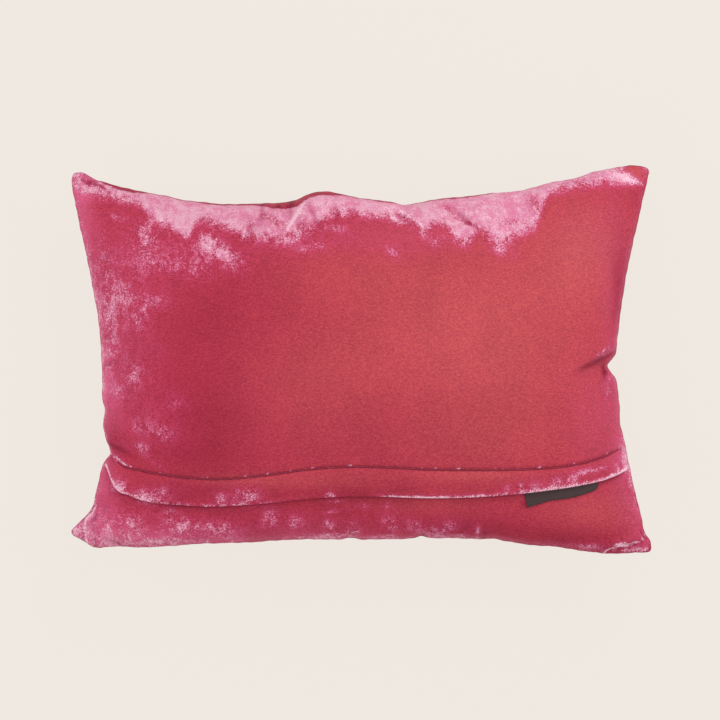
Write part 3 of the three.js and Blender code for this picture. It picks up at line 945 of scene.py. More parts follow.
@dataclass
class Closure:
    """The closure across the lower part of the pillow: its stitch line and the flap below it.

    Depths are measured on the cloth, down from the stitch line. The cloth is pressed in by the
    ditch at the line, by step just below it and by edge_step at the flap's free edge, and has
    come back to its own level by recovery of the way from there to the seam.
    """

    shape: PillowShape
    ditch: float = 1.7
    ditch_width: float = 4.6
    start: float = 3.0
    step: float = 3.6
    edge_step: float = 4.8
    ends_fade: float = 26.0
    pucker: float = 0.7
    gather_lengths: tuple[float, ...] = (8.0, 13.0, 23.0, 41.0)
    gather_seed: int = 31
    ditch_floor: float = 0.6
    ditch_power: float = 1.5
    edge_lead: float = 1.0
    recovery: float = 0.75
    places: Grid = field(default_factory=lambda: np.linspace(-1, 1, 601))
    stitch_row: Grid = field(init=False)
    edge_row: Grid = field(init=False)

    def __post_init__(self) -> None:
        """Finds where the two lines cross the cloth."""
        self.stitch_row = self._crossing(STITCH_LINE)
        self.edge_row = self._crossing(FREE_EDGE)

    def _crossing(self, line: Table) -> Grid:
        """Where each column of the cloth passes under a line of the plan.

        Args:
            line: The line's points as seen from above.

        Returns:
            The place across the cut cloth, for each of places.
        """
        rows = np.linspace(-0.98, 0.2, 237)
        surface = self.shape.surface(Panel.CLOSURE, self.places[None, :], rows[:, None])
        seen = self.shape.view.plan(surface)
        above = seen[..., 1] - course(line, seen[..., 0])
        first = np.maximum(1, (above > 0).argmax(0))
        columns = np.arange(len(self.places))
        under, over = above[first - 1, columns], above[first, columns]
        share = np.clip(-under / (over - under), 0, 1)
        return rows[first - 1] + share * (rows[1] - rows[0])

    def stitch(self, s: Grid) -> Grid:
        """The stitch line's place across the cut cloth."""
        return np.interp(s, self.places, self.stitch_row)

    def edge(self, s: Grid) -> Grid:
        """The place across the cut cloth that the flap's free edge lies over."""
        return np.interp(s, self.places, self.edge_row)

    def edge_depth(self, s: Grid) -> Grid:
        """The flap's depth."""
        return (self.stitch(s) - self.edge(s)) * self.shape.outline.height / 2

    def under(self, x: Grid) -> Grid:
        """Places along the pillow at which the flap's free edge is seen at x."""
        edge = self.shape.surface(Panel.CLOSURE, self.places, self.edge_row)
        return np.interp(x, self.shape.view.plan(edge)[:, 0], self.places)

    def below(self, s: Grid, depth: Grid) -> Grid:
        """The place across the cut cloth that lies at a depth."""
        return self.stitch(s) - depth * 2 / self.shape.outline.height

    def fade(self, s: Grid) -> Grid:
        """0 at the side seams, where the flap is sewn in flat, and 1 away from them."""
        return ease(1 - np.abs(s), 0, self.ends_fade * 2 / self.shape.outline.width)

    def pressed_in(self, s: Grid, depth: Grid) -> Grid:
        """How far the closure presses the cloth in.

        Args:
            s: Places along the pillow.
            depth: Depths below the stitch line.

        Returns:
            The distances, in millimetres.
        """
        edge = self.edge_depth(s)
        bottom = (self.stitch(s) + 1) * self.shape.outline.height / 2
        above = self.ditch * ease(depth, -self.ditch_width, self.ditch_floor) ** self.ditch_power
        start = self.ditch + (self.step - self.ditch) * np.clip(depth / self.start, 0, 1)
        share = np.clip((depth - self.start) / (edge - self.start), 0, 1)
        under = start + (self.edge_step - self.step) * share
        under *= 1 - ease(depth, edge - self.edge_lead, edge + self.recovery * (bottom - edge))
        return np.where(depth < 0, above, under) * self.fade(s)

    def along(self, s: Grid) -> Grid:
        """Distance along the cut cloth from its middle."""
        return s * self.shape.outline.width / 2

    def ripple(self, s: Grid) -> Grid:
        """How unevenly the topstitch gathers the cloth along its line, from about -1 to 1."""
        return waves(self.along(s), self.gather_lengths, self.gather_seed)

    def gathers(self, s: Grid, depth: Grid) -> Grid:
        """Small puckers that the topstitch draws up just above its line."""
        ripple = np.maximum(-0.2, self.ripple(s))
        return self.pucker * ripple * bump(depth, -4.0, 3.6) * self.fade(s)

    def lifted(self, s: Grid, depth: Grid, height: Grid) -> Grid:
        """Points at a height above the cloth as it lay before the closure pressed it in.

        Args:
            s: Places along the pillow.
            depth: Depths below the stitch line.
            height: Heights.

        Returns:
            The points.
        """
        t = self.below(s, depth)
        return self.shape.surface(Panel.CLOSURE, s, t) + (
            self.shape.outward(s, t) * np.asarray(height)[..., None])


@dataclass
class Dressing:
    """What a velvet piece's mesh tells its finish about each vertex."""

    points: Grid
    seen: Grid
    # Painted shade that darkens the colour, from 0 to 1.
    painted_shade: Grid
    # Painted highlight that makes the pile pale, from 0 to 1.
    painted_highlight: Grid


@dataclass(frozen=True)
class PileMap:
    """Where the pile is crushed, and which shade it takes, over the pillow seen from above.

    A crushed patch has a coverage: the share of it that shows pale once the finish breaks it up.
    That pale is in part a painted sheen, and the coral, deep and rosy spots are in part painted
    light, shade and sheen.
    """

    view: PhotoView
    band_softness: float = 11.0
    band_coverage: float = 0.93
    hidden_depth: float = 0.18
    hidden_seed: int = 11
    hidden_bare: float = 0.94
    hidden_patches: int = 40
    hidden_stretch: float = 1.6
    hidden_levels: tuple[float, float] = (58.0, 30.0)

    def _patch(self, plan: Grid, row: tuple[float, ...]) -> Grid:
        """How strongly a patch of a table tells.

        Args:
            plan: Places of the plan.
            row: The patch's row.

        Returns:
            1 at its middle and 0 far from it.
        """
        x, y, reach_along, reach_across, angle = row[:5]
        along, across = turned(plan, x, y, angle)
        return np.exp(-(np.hypot(along / reach_along, across / reach_across) ** 2))

    def coverage(self, plan: Grid) -> Grid:
        """How much of the cloth is crushed and shows pale, in part a painted sheen.

        Args:
            plan: Places of the plan.

        Returns:
            The crushed share at each place.
        """
        above = plan[..., 1] - course(BAND_EDGE, plan[..., 0])
        bare = 1 - self.band_coverage * ease(above, -self.band_softness, self.band_softness)
        for row in CRUSHED_SHEEN:
            bare *= 1 - row[5] * self._patch(plan, row)
        for row in SMOOTH:
            bare = 1 - (1 - bare) * (1 - row[5] * self._patch(plan, row))
        return 1 - bare

    def shade(self, plan: Grid, rows: Table) -> Grid:
        """How strongly a set of soft spots tints the cloth.

        Args:
            plan: Places of the plan.
            rows: The spots.

        Returns:
            The strength at each place, from 0 to 1.
        """
        total = np.zeros(plan.shape[:-1])
        for row in rows:
            total = total + row[5] * self._patch(plan, row)
        return np.clip(total, 0, 1)

    def hidden_coverage(self, plan: Grid) -> Grid:
        """Coverage of the face side, which the photograph doesn't show.

        Args:
            plan: Places of the plan.

        Returns:
            The crushed share at each place.
        """
        draws = np.random.default_rng(self.hidden_seed)
        bare = np.full(plan.shape[:-1], self.hidden_bare)
        for _ in range(self.hidden_patches):
            x, y = draws.uniform(-280, 280), draws.uniform(-180, 180)
            size, turn = draws.uniform(10, 30), draws.uniform(-60, 60)
            row = (x, y, size * self.hidden_stretch, size, turn)
            bare *= 1 - draws.uniform(0.2, 0.7) * self._patch(plan, row)
        return 1 - bare

    def dress(self, made: bpy.types.Object, dressing: Dressing) -> None:
        """Stores the map on a piece, one number for each vertex under each name.

        Args:
            made: The piece.
            dressing: What its vertices say.
        """
        seen = dressing.seen
        plan = self.view.plan(dressing.points)
        below = dressing.points[..., :2]
        away = ease(dressing.points[..., 2], *self.hidden_levels)
        covered = self.coverage(plan) * seen + self.hidden_coverage(below) * (1 - seen) * away
        # Painted highlights also make the pile show pale.
        covered = 1 - (1 - covered) * (1 - dressing.painted_highlight)
        values = {
            # Crushed pile, whose pale is in part a painted sheen.
            "crushed_sheen": covered,
            # Coral, in part painted light.
            "coral_and_light": self.shade(plan, CORAL_AND_LIGHT) * (0.5 + 0.5 * seen),
            # Deep crimson, in part painted shade.
            "deep_and_shade": self.shade(plan, DEEP_AND_SHADE) * seen + self.hidden_depth * (1 - seen),
            # Rose, in part painted sheen along the rims.
            "rosy_and_sheen": self.shade(plan, ROSY_AND_SHEEN),
            # Painted shade in creases, ditches, tucks and along the seam.
            "painted_shade": np.clip(dressing.painted_shade, 0, 1),
            # Painted highlights on rims, ridges, gathers and the flap's edge.
            "painted_highlight": np.clip(dressing.painted_highlight, 0, 1),
        }
        for name, value in values.items():
            attribute = made.data.attributes.new(name, "FLOAT", "POINT")
            attribute.data.foreach_set("value", np.asarray(value, np.float32).ravel())


@dataclass
class VelvetCover:
    """The cover: both panels, sewn in one knife-edge seam, with the closure pressed in."""

    closure: Closure
    columns: int = 360
    lower_rows: int = 28
    flap_rows: int = 14
    upper_rows: int = 132
    crowding: float = 0.3
    crease_shade: float = 0.36
    seam_shade: float = 0.6
    ditch_shade: float = 0.26
    under_shade: float = 0.75
    ridge_light: float = 0.5
    seam_light: float = 0.7
    seam_line_shade: float = 0.4
    stitch_light: float = 0.5
    end_light: float = 0.7
    end_reach: tuple[float, float] = (0.84, 0.9)
    most_light: float = 0.9
    ear_hidden: float = 0.3
    rim_reach: float = 7.0
    rim_light: tuple[tuple[Side, float], ...] = (
        (Side.LEFT, 0.42), (Side.BOTTOM, 0.3), (Side.RIGHT, 0.25),
    )
    name: str = "velvet_cover"

    def build(self) -> tuple[bpy.types.Object, Dressing]:
        """Makes the cover's mesh.

        Returns:
            The object, and what its vertices say to the finish.
        """
        s = spread(self.columns, self.crowding)[None, :] * 2 - 1
        t = self._rows(s)
        s = np.broadcast_to(s, t.shape)
        depth = (self.closure.stitch(s) - t) * self.closure.shape.outline.height / 2
        height = self.closure.gathers(s, depth) - self.closure.pressed_in(s, depth)
        upper = self.closure.lifted(s, depth, height)
        lower = self.closure.shape.surface(Panel.FACE, s, t)
        inner = np.zeros(t.shape, bool)
        inner[1:-1, 1:-1] = True
        above = np.arange(t.size).reshape(t.shape)
        below = above.copy()
        below[inner] = t.size + np.arange(inner.sum())
        points = np.concatenate([upper.reshape(-1, 3), lower[inner]])
        made = mesh_object(self.name, points, quads(above) + quads(below, flipped=True))
        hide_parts("cushion")
        hidden = np.zeros(inner.sum())
        looks = [np.concatenate([look.ravel(), hidden]) for look in self._looks(upper, s, depth)]
        return made, Dressing(points, *looks)

    def _looks(self, points: Grid, s: Grid, depth: Grid) -> tuple[Grid, Grid, Grid]:
        """What the closure side tells its finish.

        Args:
            points: Its points.
            s: Their places along the pillow.
            depth: Their depths below the stitch line.

        Returns:
            Where its own panel shows, the painted shade of its creases, seam groove, ditch, tucks,
            seam line and the cloth under the flap's edge, and the painted highlights of its pile.
        """
        shape = self.closure.shape
        past, width = shape.beyond_seam(points, s)
        sharp = shape.raised(shape.view.plan(points), CREASES)
        fade = self.closure.fade(s)
        below_edge = depth - self.closure.edge_depth(s)
        # Painted shade: creases, seam groove, stitch ditch and the cloth under the flap's edge.
        painted_shade = self.crease_shade * np.clip(-sharp, 0, 2)
        painted_shade += self.seam_shade * bump(past, 0.4, 0.9) * np.minimum(1, width / 3)
        painted_shade += self.ditch_shade * bump(depth, 0.2, 1.7) * fade**2
        painted_shade += self.under_shade * bump(below_edge, 0.8, 2.4) * (0.4 + 0.6 * fade)
        # Painted shade in tucks and beside the label.
        for x, y, reach, strength in TUCK_SHADE:
            away = np.hypot(points[..., 0] - x, points[..., 1] - y)
            painted_shade += strength * bump(away, 0, reach)
        # Painted highlights on ridges, the seam strip, stitch gathers, the line's end and the rims.
        painted_highlight = self.ridge_light * np.clip(sharp, 0, 2)
        painted_highlight += self.seam_light * bump(past, -1.4, 1.4) * ease(width, 8, 9)
        gathered = np.maximum(0, self.closure.ripple(s))
        painted_highlight += self.stitch_light * gathered**2 * bump(depth, -1.4, 1.3) * fade
        painted_highlight += self.end_light * bump(depth, -1.8, 1.5) * ease(-s, *self.end_reach) * fade
        cloth = s, self.closure.below(s, depth)
        # Painted shade: a narrow dark line along the seam.
        painted_shade += self.seam_line_shade * bump(shape.outline.nearest_seam(*cloth), 0, 0.9)
        for side, strength in self.rim_light:
            away = shape.outline.from_seam(side, *cloth)
            painted_highlight += strength * bump(away, 0, self.rim_reach)
        face = ease(past, -0.5, 0.5) * np.where(width < shape.ear_width - 0.1, 1, self.ear_hidden)
        return 1 - face, painted_shade, np.clip(painted_highlight, 0, self.most_light)

    def _rows(self, s: Grid) -> Grid:
        """Sets out the rows from the bottom seam to the top one.

        Args:
            s: Places along the pillow.

        Returns:
            The places across it. Two rows follow the closure's two lines.
        """
        stitch, edge = self.closure.stitch(s), self.closure.edge(s)
        bands = ((-np.ones_like(s), edge, self.lower_rows), (edge, stitch, self.flap_rows),
                 (stitch, np.ones_like(s), self.upper_rows))
        rows = [low + (high - low) * spread(count, self.crowding)[:-1, None]
                for low, high, count in bands]
        return np.concatenate([*rows, np.ones_like(s)], 0)


def lofted(name: str, rings: Grid) -> tuple[bpy.types.Object, Grid]:
    """A closed shell through a row of closed rings, capped at both ends.

    Args:
        name: The object's name.
        rings: Points by ring and place round it. Seen from the first ring, they run clockwise.

    Returns:
        The object and its vertices.
    """
    count, around = rings.shape[:2]
    places = np.arange(count * around).reshape(count, around)
    wrapped = np.concatenate([places, places[:, :1]], 1)
    points = np.concatenate([rings.reshape(-1, 3), rings[0].mean(0)[None], rings[-1].mean(0)[None]])
    faces = quads(wrapped)
    first, last = count * around, count * around + 1
    for i in range(around):
        j = (i + 1) % around
        faces.append((first, int(places[0, i]), int(places[0, j])))
        faces.append((last, int(places[-1, j]), int(places[-1, i])))
    made = mesh_object(name, points, faces)
    return made, points


@dataclass
class ClosureFlap:
    """The hemmed lower edge of the upper panel. It lies over the closure from seam to seam.

    Near the side seams its section runs out into a flat one, and its ends are tucked in there.
    """

    closure: Closure
    columns: int = 260
    reach: float = 0.995
    end_start: float = 0.98
    end_tuck: float = 1.6
    puff: float = 0.9
    lump: float = 0.35
    start: float = 0.7
    highlight_width: float = 3.0
    ditch_shade: float = 0.25
    under_shares: tuple[float, ...] = (0.0, 0.2, 0.45, 0.7, 0.88, 0.95)
    over_shares: tuple[float, ...] = (0.86, 0.76, 0.64, 0.52, 0.4, 0.28, 0.18)
    laid_low: float = 3.4
    flat_under: float = 0.12
    flat_over: float = 0.6
    flat_ends: float = 0.45
    name: str = "closure_hem"

    def build(self) -> tuple[bpy.types.Object, Dressing]:
        """Makes the flap's shell.

        Returns:
            The object, and what its vertices say to the finish.
        """
        s = self.reach * (2 * spread(self.columns, 0.5) - 1)
        edge = self.closure.edge_depth(s)
        fade = self.closure.fade(s)
        lumps = self.lump * waves(self.closure.along(s), (31.0, 52.0, 83.0), 71)
        section = self._section(edge, fade, lumps)
        sewn_in = self.end_tuck * ease(np.abs(s), self.end_start, self.reach)
        rings = np.stack([self.closure.lifted(s, depth, height - sewn_in)
                          for depth, height in section], 1)
        made, points = lofted(self.name, rings)
        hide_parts("closure_flap")
        depth = np.stack([row[0] for row in section], 1)
        plan = self.closure.shape.view.plan(rings)
        # Painted highlight along the flap's free edge.
        light = course(EDGE_HIGHLIGHT, plan[..., 0]) * bump(depth - edge[:, None], -0.9, self.highlight_width)
        # Painted shade in the ditch at the stitch line.
        painted_shade = self.ditch_shade * bump(depth, 0.4, 1.5) * fade[:, None] ** 2
        looks = [np.append(look, [0.0, 0.0]) for look in (painted_shade, light)]
        return made, Dressing(points, np.ones(len(points)), *looks)

    def _section(self, edge: Grid, fade: Grid, lumps: Grid) -> list[tuple[Grid, Grid]]:
        """The shell's cross-section, from its underside at the stitch line to its top there.

        Args:
            edge: The flap's depth in each column.
            fade: 0 at the side seams and 1 away from them.
            lumps: How far the hem is puffed unevenly.

        Returns:
            A depth and a height for each place round the section, by column.
        """
        flat = 1 - fade
        rows = []
        for share in self.under_shares:
            depth = self.start + (edge - self.start) * share
            low = self.laid_low - 0.2 * share
            rows.append((depth, -(low * fade) + self.flat_under * flat))
        for past, height in HEM_NOSE:
            rows.append((edge + past, height * fade + flat * (self.flat_ends + 0.1 * height)))
        for share in self.over_shares:
            depth = self.start + (edge - self.start) * share
            rise = self.puff * math.sin(math.pi * min(1, share + 0.12)) ** 0.7
            height = rise + lumps * math.sin(math.pi * share)
            rows.append((depth, height * fade + self.flat_over * flat))
        for depth, height in HEM_TOP:
            rows.append((np.full_like(edge, depth), height * fade + self.flat_ends * flat))
        return rows


@dataclass
class LabelRibbon:
    """A bare woven ribbon, folded at its lower edge and sewn in under the flap."""

    closure: Closure
    left: float = 168.5
    right: float = 243.5
    width: float = 19.5
    columns: int = 56
    rise: float = 0.5
    thickness: float = 0.9
    clear: float = 0.3
    corner: float = 5.0
    name: str = "woven_label"

    def build(self) -> bpy.types.Object:
        """Makes the ribbon's shell.

        Returns:
            The object.
        """
        share = spread(self.columns, 0.6)
        s = self.closure.under(self.left + (self.right - self.left) * share)
        edge = self.closure.edge_depth(s)
        showing = course(LABEL_SHOWING, share)
        end = (1 - share) * (self.right - self.left)
        rounded = self.corner * (1 - np.sqrt(np.clip(1 - (1 - end / self.corner) ** 2, 0, 1)))
        showing = showing - np.where(end < self.corner, rounded, 0)
        lift = self.rise + 0.35 * np.sin(share * 9) ** 2
        rings = []
        under = [(1.0, 0.0), (0.6, 0.0), (0.3, 0.0), (0.12, 0.0), (0.03, 0.1)]
        over = [(inward, self.thickness - height) for inward, height in reversed(under)]
        for inward, height in [*under, (0.0, self.thickness / 2), *over]:
            depth = edge + showing - self.width * inward
            base = -self.closure.pressed_in(s, depth)
            droop = ease(depth, edge - 2, edge + 3) * lift
            rings.append(self.closure.lifted(s, depth, base + height + self.clear + droop))
        made, _ = lofted(self.name, np.stack(rings, 1))
        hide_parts("label")
        return made


@dataclass
class Topstitch:
    """The thread that holds the hem: short stitches sunk in the ditch of the stitch line."""

    closure: Closure
    pitch: float = 3.4
    length: float = 2.7
    radius: float = 0.42
    sunk: float = 1.3
    depth: float = 0.35
    ends: tuple[float, float] = (-0.945, 0.975)
    name: str = "hem_topstitch"

    def build(self) -> bpy.types.Object:
        """Models one stitch by hand and lays a copy of it at each step of the line.

        Returns:
            The stitches as one object.
        """
        shape, faces = self._one_stitch()
        s = np.linspace(*self.ends, 2001)
        depth = np.full_like(s, self.depth)
        line = self.closure.lifted(s, depth, -self.sunk * self.closure.fade(s))
        run = np.concatenate([[0], np.cumsum(np.linalg.norm(np.diff(line, axis=0), axis=1))])
        steps = np.arange(self.pitch, run[-1] - self.pitch, self.pitch)
        places, ahead = (np.stack([np.interp(at, run, line[:, k]) for k in range(3)], 1)
                         for at in (steps, steps + 1))
        along = ahead - places
        along /= np.linalg.norm(along, axis=1, keepdims=True)
        columns = np.interp(steps, run, s)
        out = self.closure.shape.outward(columns, self.closure.stitch(columns))
        aside = np.cross(out, along)
        aside /= np.linalg.norm(aside, axis=1, keepdims=True)
        axes = np.stack([along, aside, np.cross(along, aside)], 1)
        points = (np.einsum("vk,nkc->nvc", shape, axes) + places[:, None]).reshape(-1, 3)
        every = [tuple(v + n * len(shape) for v in face) for n in range(len(places))
                 for face in faces]
        made = mesh_object(self.name, points, every)
        return made

    def _one_stitch(self) -> tuple[Grid, list[tuple[int, ...]]]:
        """Models one stitch along X, rounded at its ends.

        Returns:
            Its points in millimetres, and its faces.
        """
        deselect_all()
        bpy.ops.mesh.primitive_cylinder_add(
            vertices=8, radius=self.radius * MM, depth=self.length * MM, end_fill_type="NGON",
            rotation=(0, math.pi / 2, 0))
        made = bpy.context.active_object
        bpy.ops.object.transform_apply(location=True, rotation=True, scale=True)
        bpy.ops.object.mode_set(mode="EDIT")
        bpy.ops.mesh.select_all(action="DESELECT")
        bpy.ops.object.mode_set(mode="OBJECT")
        for polygon in made.data.polygons:
            polygon.select = abs(polygon.normal.x) > 0.9
        bpy.ops.object.mode_set(mode="EDIT")
        bpy.ops.mesh.select_mode(type="FACE")
        bpy.ops.mesh.inset(thickness=self.radius * 0.45 * MM, depth=self.radius * 0.4 * MM)
        bpy.ops.object.mode_set(mode="OBJECT")
        mesh = made.data
        points = np.array([vertex.co[:] for vertex in mesh.vertices]) / MM
        faces = [tuple(polygon.vertices) for polygon in mesh.polygons]
        bpy.data.objects.remove(made)
        bpy.data.meshes.remove(mesh)
        return points, faces


def deselect_all() -> None:
    """Leaves nothing selected, as an operator acts on all that is."""
    for item in bpy.context.scene.objects:
        item.select_set(False)


class Bench:
    """Lays out the nodes of one material."""

    def __init__(self, name: str) -> None:
        """Starts a material with its surface shader.

        Args:
            name: The material's name.
        """
        self.material = bpy.data.materials.new(name)
        self.material.use_nodes = True
        self.tree = self.material.node_tree
        self.shader = self.tree.nodes["Principled BSDF"]
        self.place = self.node("TexCoord", {}).outputs["Object"]

    def node(self, kind: str, inputs: dict[str | int, Any], **settings: Any) -> bpy.types.Node:
        """Adds a node.

        Args:
            kind: The node's type, without ShaderNode.
            inputs: A value or a socket for each named or numbered input.
            **settings: The node's own settings.

        Returns:
            The node.
        """
        made = self.tree.nodes.new("ShaderNode" + kind)
        for name, value in settings.items():
            setattr(made, name, value)
        for name, value in inputs.items():
            self.feed(made.inputs[name], value)
        return made

    def feed(self, socket: bpy.types.NodeSocket, value: Any) -> None:
        """Gives an input a value, or links a socket to it.

        Args:
            socket: The input.
            value: The value or socket.
        """
        if isinstance(value, bpy.types.NodeSocket):
            self.tree.links.new(value, socket)
        else:
            socket.default_value = value

    def surface(self, inputs: dict[str, Any]) -> bpy.types.Material:
        """Feeds the surface shader's inputs.

        Args:
            inputs: A value or a socket for each.

        Returns:
            The material.
        """
        for name, value in inputs.items():
            self.feed(self.shader.inputs[name], value)
        return self.material

    def math(self, kind: str, a: Any, b: Any = 0.0, clamp: bool = False) -> Any:
        """The result of one sum of two values."""
        return self.node("Math", {0: a, 1: b}, operation=kind, use_clamp=clamp).outputs[0]

    def stretched(self, scale: tuple[float, float, float], angle: float = 0.0) -> Any:
        """The piece's coordinates in grains of a size: how many grains go in a metre."""
        inputs = {"Vector": self.place, "Scale": scale, "Rotation": (0, 0, math.radians(angle))}
        return self.node("Mapping", inputs).outputs[0]

    def noise(self, vector: Any, detail: float = 3.0, rough: float = 0.6, warp: float = 0.0) -> Any:
        """Even-tempered noise.

        Args:
            vector: Where it is read.
            detail: How many finer layers it has.
            rough: How strong they are.
            warp: How far it is bent.

        Returns:
            A value between 0 and 1.
        """
        inputs = {"Vector": vector, "Scale": 1.0, "Detail": detail, "Roughness": rough,
                  "Distortion": warp}
        return self.eased(self.node("TexNoise", inputs).outputs["Fac"], 0.28, 0.72)

    def eased(self, value: Any, low: float, high: float,
              start: float = 0.0, end: float = 1.0) -> Any:
        """A value that rises smoothly from start at low to end at high."""
        inputs = {"Value": value, "From Min": low, "From Max": high, "To Min": start, "To Max": end}
        return self.node("MapRange", inputs, interpolation_type="SMOOTHSTEP").outputs["Result"]

    def scaled(self, value: Any, start: float, end: float) -> Any:
        """A value from 0 to 1 brought to a range from start to end."""
        inputs = {"Value": value, "To Min": start, "To Max": end}
        return self.node("MapRange", inputs).outputs["Result"]

    def stored(self, name: str) -> Any:
        """A number that a piece's mesh stores for each vertex."""
        return self.node("Attribute", {}, attribute_name=name).outputs["Fac"]

    def mixed(self, *parts: tuple[Any, float]) -> Any:
        """Adds values up.

        Args:
            *parts: Each value, and how many times it is taken.

        Returns:
            The sum.
        """
        total: Any = 0.0
        for value, times in parts:
            total = self.math("ADD", total, self.math("MULTIPLY", value, times))
        return total

    def blend(self, share: Any, a: Any, b: Any, kind: str = "MIX") -> Any:
        """Two colours mixed."""
        made = self.node("Mix", {0: share, 6: a, 7: b}, data_type="RGBA", blend_type=kind)
        return made.outputs[2]

    def raised(self, height: Any, distance: float, strength: float, below: Any = None) -> Any:
        """A bump.

        Args:
            height: Its height, from 0 to 1.
            distance: What 1 stands for, in millimetres.
            strength: How strongly it tells.
            below: The bump that it lies on.

        Returns:
            The normal.
        """
        inputs = {"Height": height, "Distance": distance * MM, "Strength": strength}
        if below is not None:
            inputs["Normal"] = below
        return self.node("Bump", inputs).outputs[0]


def dye(code: str) -> tuple[float, float, float, float]:
    """A colour as the shaders count it.

    Args:
        code: Its six-figure sRGB code.

    Returns:
        Its linear parts.
    """
    parts = [int(code[i:i + 2], 16) / 255 for i in (0, 2, 4)]
    linear = [c / 12.92 if c <= 0.04045 else ((c + 0.055) / 1.055) ** 2.4 for c in parts]
    return (*linear, 1.0)


@dataclass(frozen=True)
class CrushedVelvet:
    """Short silk pile: crimson, coral where it stands towards the light, pale where crushed.

    Coral and rose spots are in part painted light and sheen, and deep spots are in part painted
    shade. The pale of crushed pile is in part a painted sheen. Creases, ditches and rims get
    painted shade and painted highlights.
    """

    crimson: str = "b4324b"
    coral_and_light: str = "c44e5b"
    amber: str = "c75d50"
    deep_and_shade: str = "9a1f3f"
    rosy_and_sheen: str = "e0668f"
    hot: str = "dc4f80"
    dusk: str = "de7aa2"
    pale: str = "e7a6bf"
    bright: str = "fbcbdf"
    shadow: str = "780f33"
    # Painted shadow colour where the pile is crushed.
    crushed_shadow: str = "c04276"

    def make(self) -> bpy.types.Material:
        """Builds the finish.

        Returns:
            The material.
        """
        bench = Bench("crushed_velvet")
        nap = bench.noise(bench.stretched((620, 560, 600)), 2.0, 0.6)
        fine = bench.noise(bench.stretched((1150, 1000, 1100)), 1.0, 0.5)
        lay = bench.noise(bench.stretched((400, 800, 560), 14), 2.0, 0.55, 1.0)
        wisps = bench.noise(bench.stretched((150, 105, 130), 8), 5.0, 0.68, 0.5)
        clouds = bench.noise(bench.stretched((44, 34, 40), -6), 4.0, 0.6, 0.6)
        drift = bench.noise(bench.stretched((20, 14, 18)), 3.0, 0.55)
        grain = bench.mixed((nap, 0.5), (fine, 0.5))
        ground = self._ground(bench, bench.mixed((grain, 0.5), (lay, 0.5)), clouds, drift)
        drawn = bench.eased(bench.mixed((wisps, 0.45), (clouds, 0.3), (lay, 0.25)), 0.36, 0.64)
        breakup = bench.mixed((drawn, 0.5), (bench.eased(grain, 0.36, 0.64), 0.5))
        crushed_sheen = self._crushed_sheen(bench, breakup)
        # The pale of crushed pile, in part a painted sheen: hot, dusk, pale and bright glints.
        haze = bench.math("MULTIPLY", bench.stored("crushed_sheen"),
                          bench.scaled(breakup, 0.0, 1.9), clamp=True)
        colour = bench.blend(haze, ground, dye(self.hot))
        colour = bench.blend(bench.eased(crushed_sheen, 0.2, 0.95), colour, dye(self.dusk))
        lit = bench.eased(bench.mixed((wisps, 0.25), (clouds, 0.3), (grain, 0.45)), 0.36, 0.64)
        lit = bench.math("MULTIPLY", bench.eased(crushed_sheen, 0.5, 1.0), bench.scaled(lit, 0.15, 1.1))
        lit = bench.math("MULTIPLY", lit, bench.eased(bench.stored("crushed_sheen"), 0.3, 0.9, 0.3, 1.0))
        colour = bench.blend(lit, colour, dye(self.pale))
        glint = bench.math("MULTIPLY", crushed_sheen, bench.mixed((grain, 0.65), (wisps, 0.35)))
        # Painted highlights add to the glints.
        glint = bench.math("ADD", glint, bench.math("MULTIPLY", bench.stored("painted_highlight"), 0.5))
        colour = bench.blend(bench.eased(glint, 0.5, 1.0), colour, dye(self.bright))
        # The painted shadow colour: darker where the pile stands, pinker where it is crushed.
        shadow = bench.blend(bench.eased(crushed_sheen, 0.2, 0.9), dye(self.shadow), dye(self.crushed_shadow))
        # Painted shade: the colour goes towards the shadow colour in creases, ditches, tucks and
        # seams.
        colour = bench.blend(bench.math("MULTIPLY", bench.stored("painted_shade"), 0.85), colour, shadow)
        pile = bench.raised(bench.mixed((grain, 0.6), (lay, 0.4)), 0.6, 0.4)
        height = bench.math("MULTIPLY", wisps, bench.scaled(crushed_sheen, 0.2, 1.0))
        return bench.surface({
            "Base Color": colour,
            "Roughness": bench.scaled(nap, 0.6, 0.78),
            "Specular IOR Level": 0.12,
            "Sheen Weight": 0.16,
            "Sheen Roughness": 0.35,
            "Sheen Tint": (1.0, 0.6, 0.74, 1.0),
            "Normal": bench.raised(height, 1.0, 0.4, pile),
        })

    def _ground(self, bench: Bench, grain: Any, clouds: Any, drift: Any) -> Any:
        """The colour of the standing pile, whose coral, rosy and deep spots are in part painted
        light, sheen and shade.

        Args:
            bench: The material's bench.
            grain: The fine grain.
            clouds: Soft clouds about 25 mm wide.
            drift: Wider ones.

        Returns:
            The colour.
        """
        # Coral, in part painted light where the pile faces the light.
        ground = bench.blend(bench.stored("coral_and_light"), dye(self.crimson), dye(self.coral_and_light))
        fleck = bench.math("MULTIPLY", bench.eased(grain, 0.35, 0.75),
                           bench.scaled(bench.stored("coral_and_light"), 0.15, 0.5))
        ground = bench.blend(fleck, ground, dye(self.amber))
        # Rose, in part painted sheen along the rims.
        rosy_and_sheen = bench.math("MULTIPLY", bench.stored("rosy_and_sheen"), bench.scaled(clouds, 0.55, 1.15))
        ground = bench.blend(rosy_and_sheen, ground, dye(self.rosy_and_sheen))
        # Deep crimson, in part painted shade.
        ground = bench.blend(bench.stored("deep_and_shade"), ground, dye(self.deep_and_shade))
        tone = bench.math("ADD", bench.scaled(grain, 0.7, 1.3), bench.scaled(drift, -0.06, 0.06))
        return bench.node("VectorMath", {0: ground, "Scale": tone}, operation="SCALE").outputs[0]

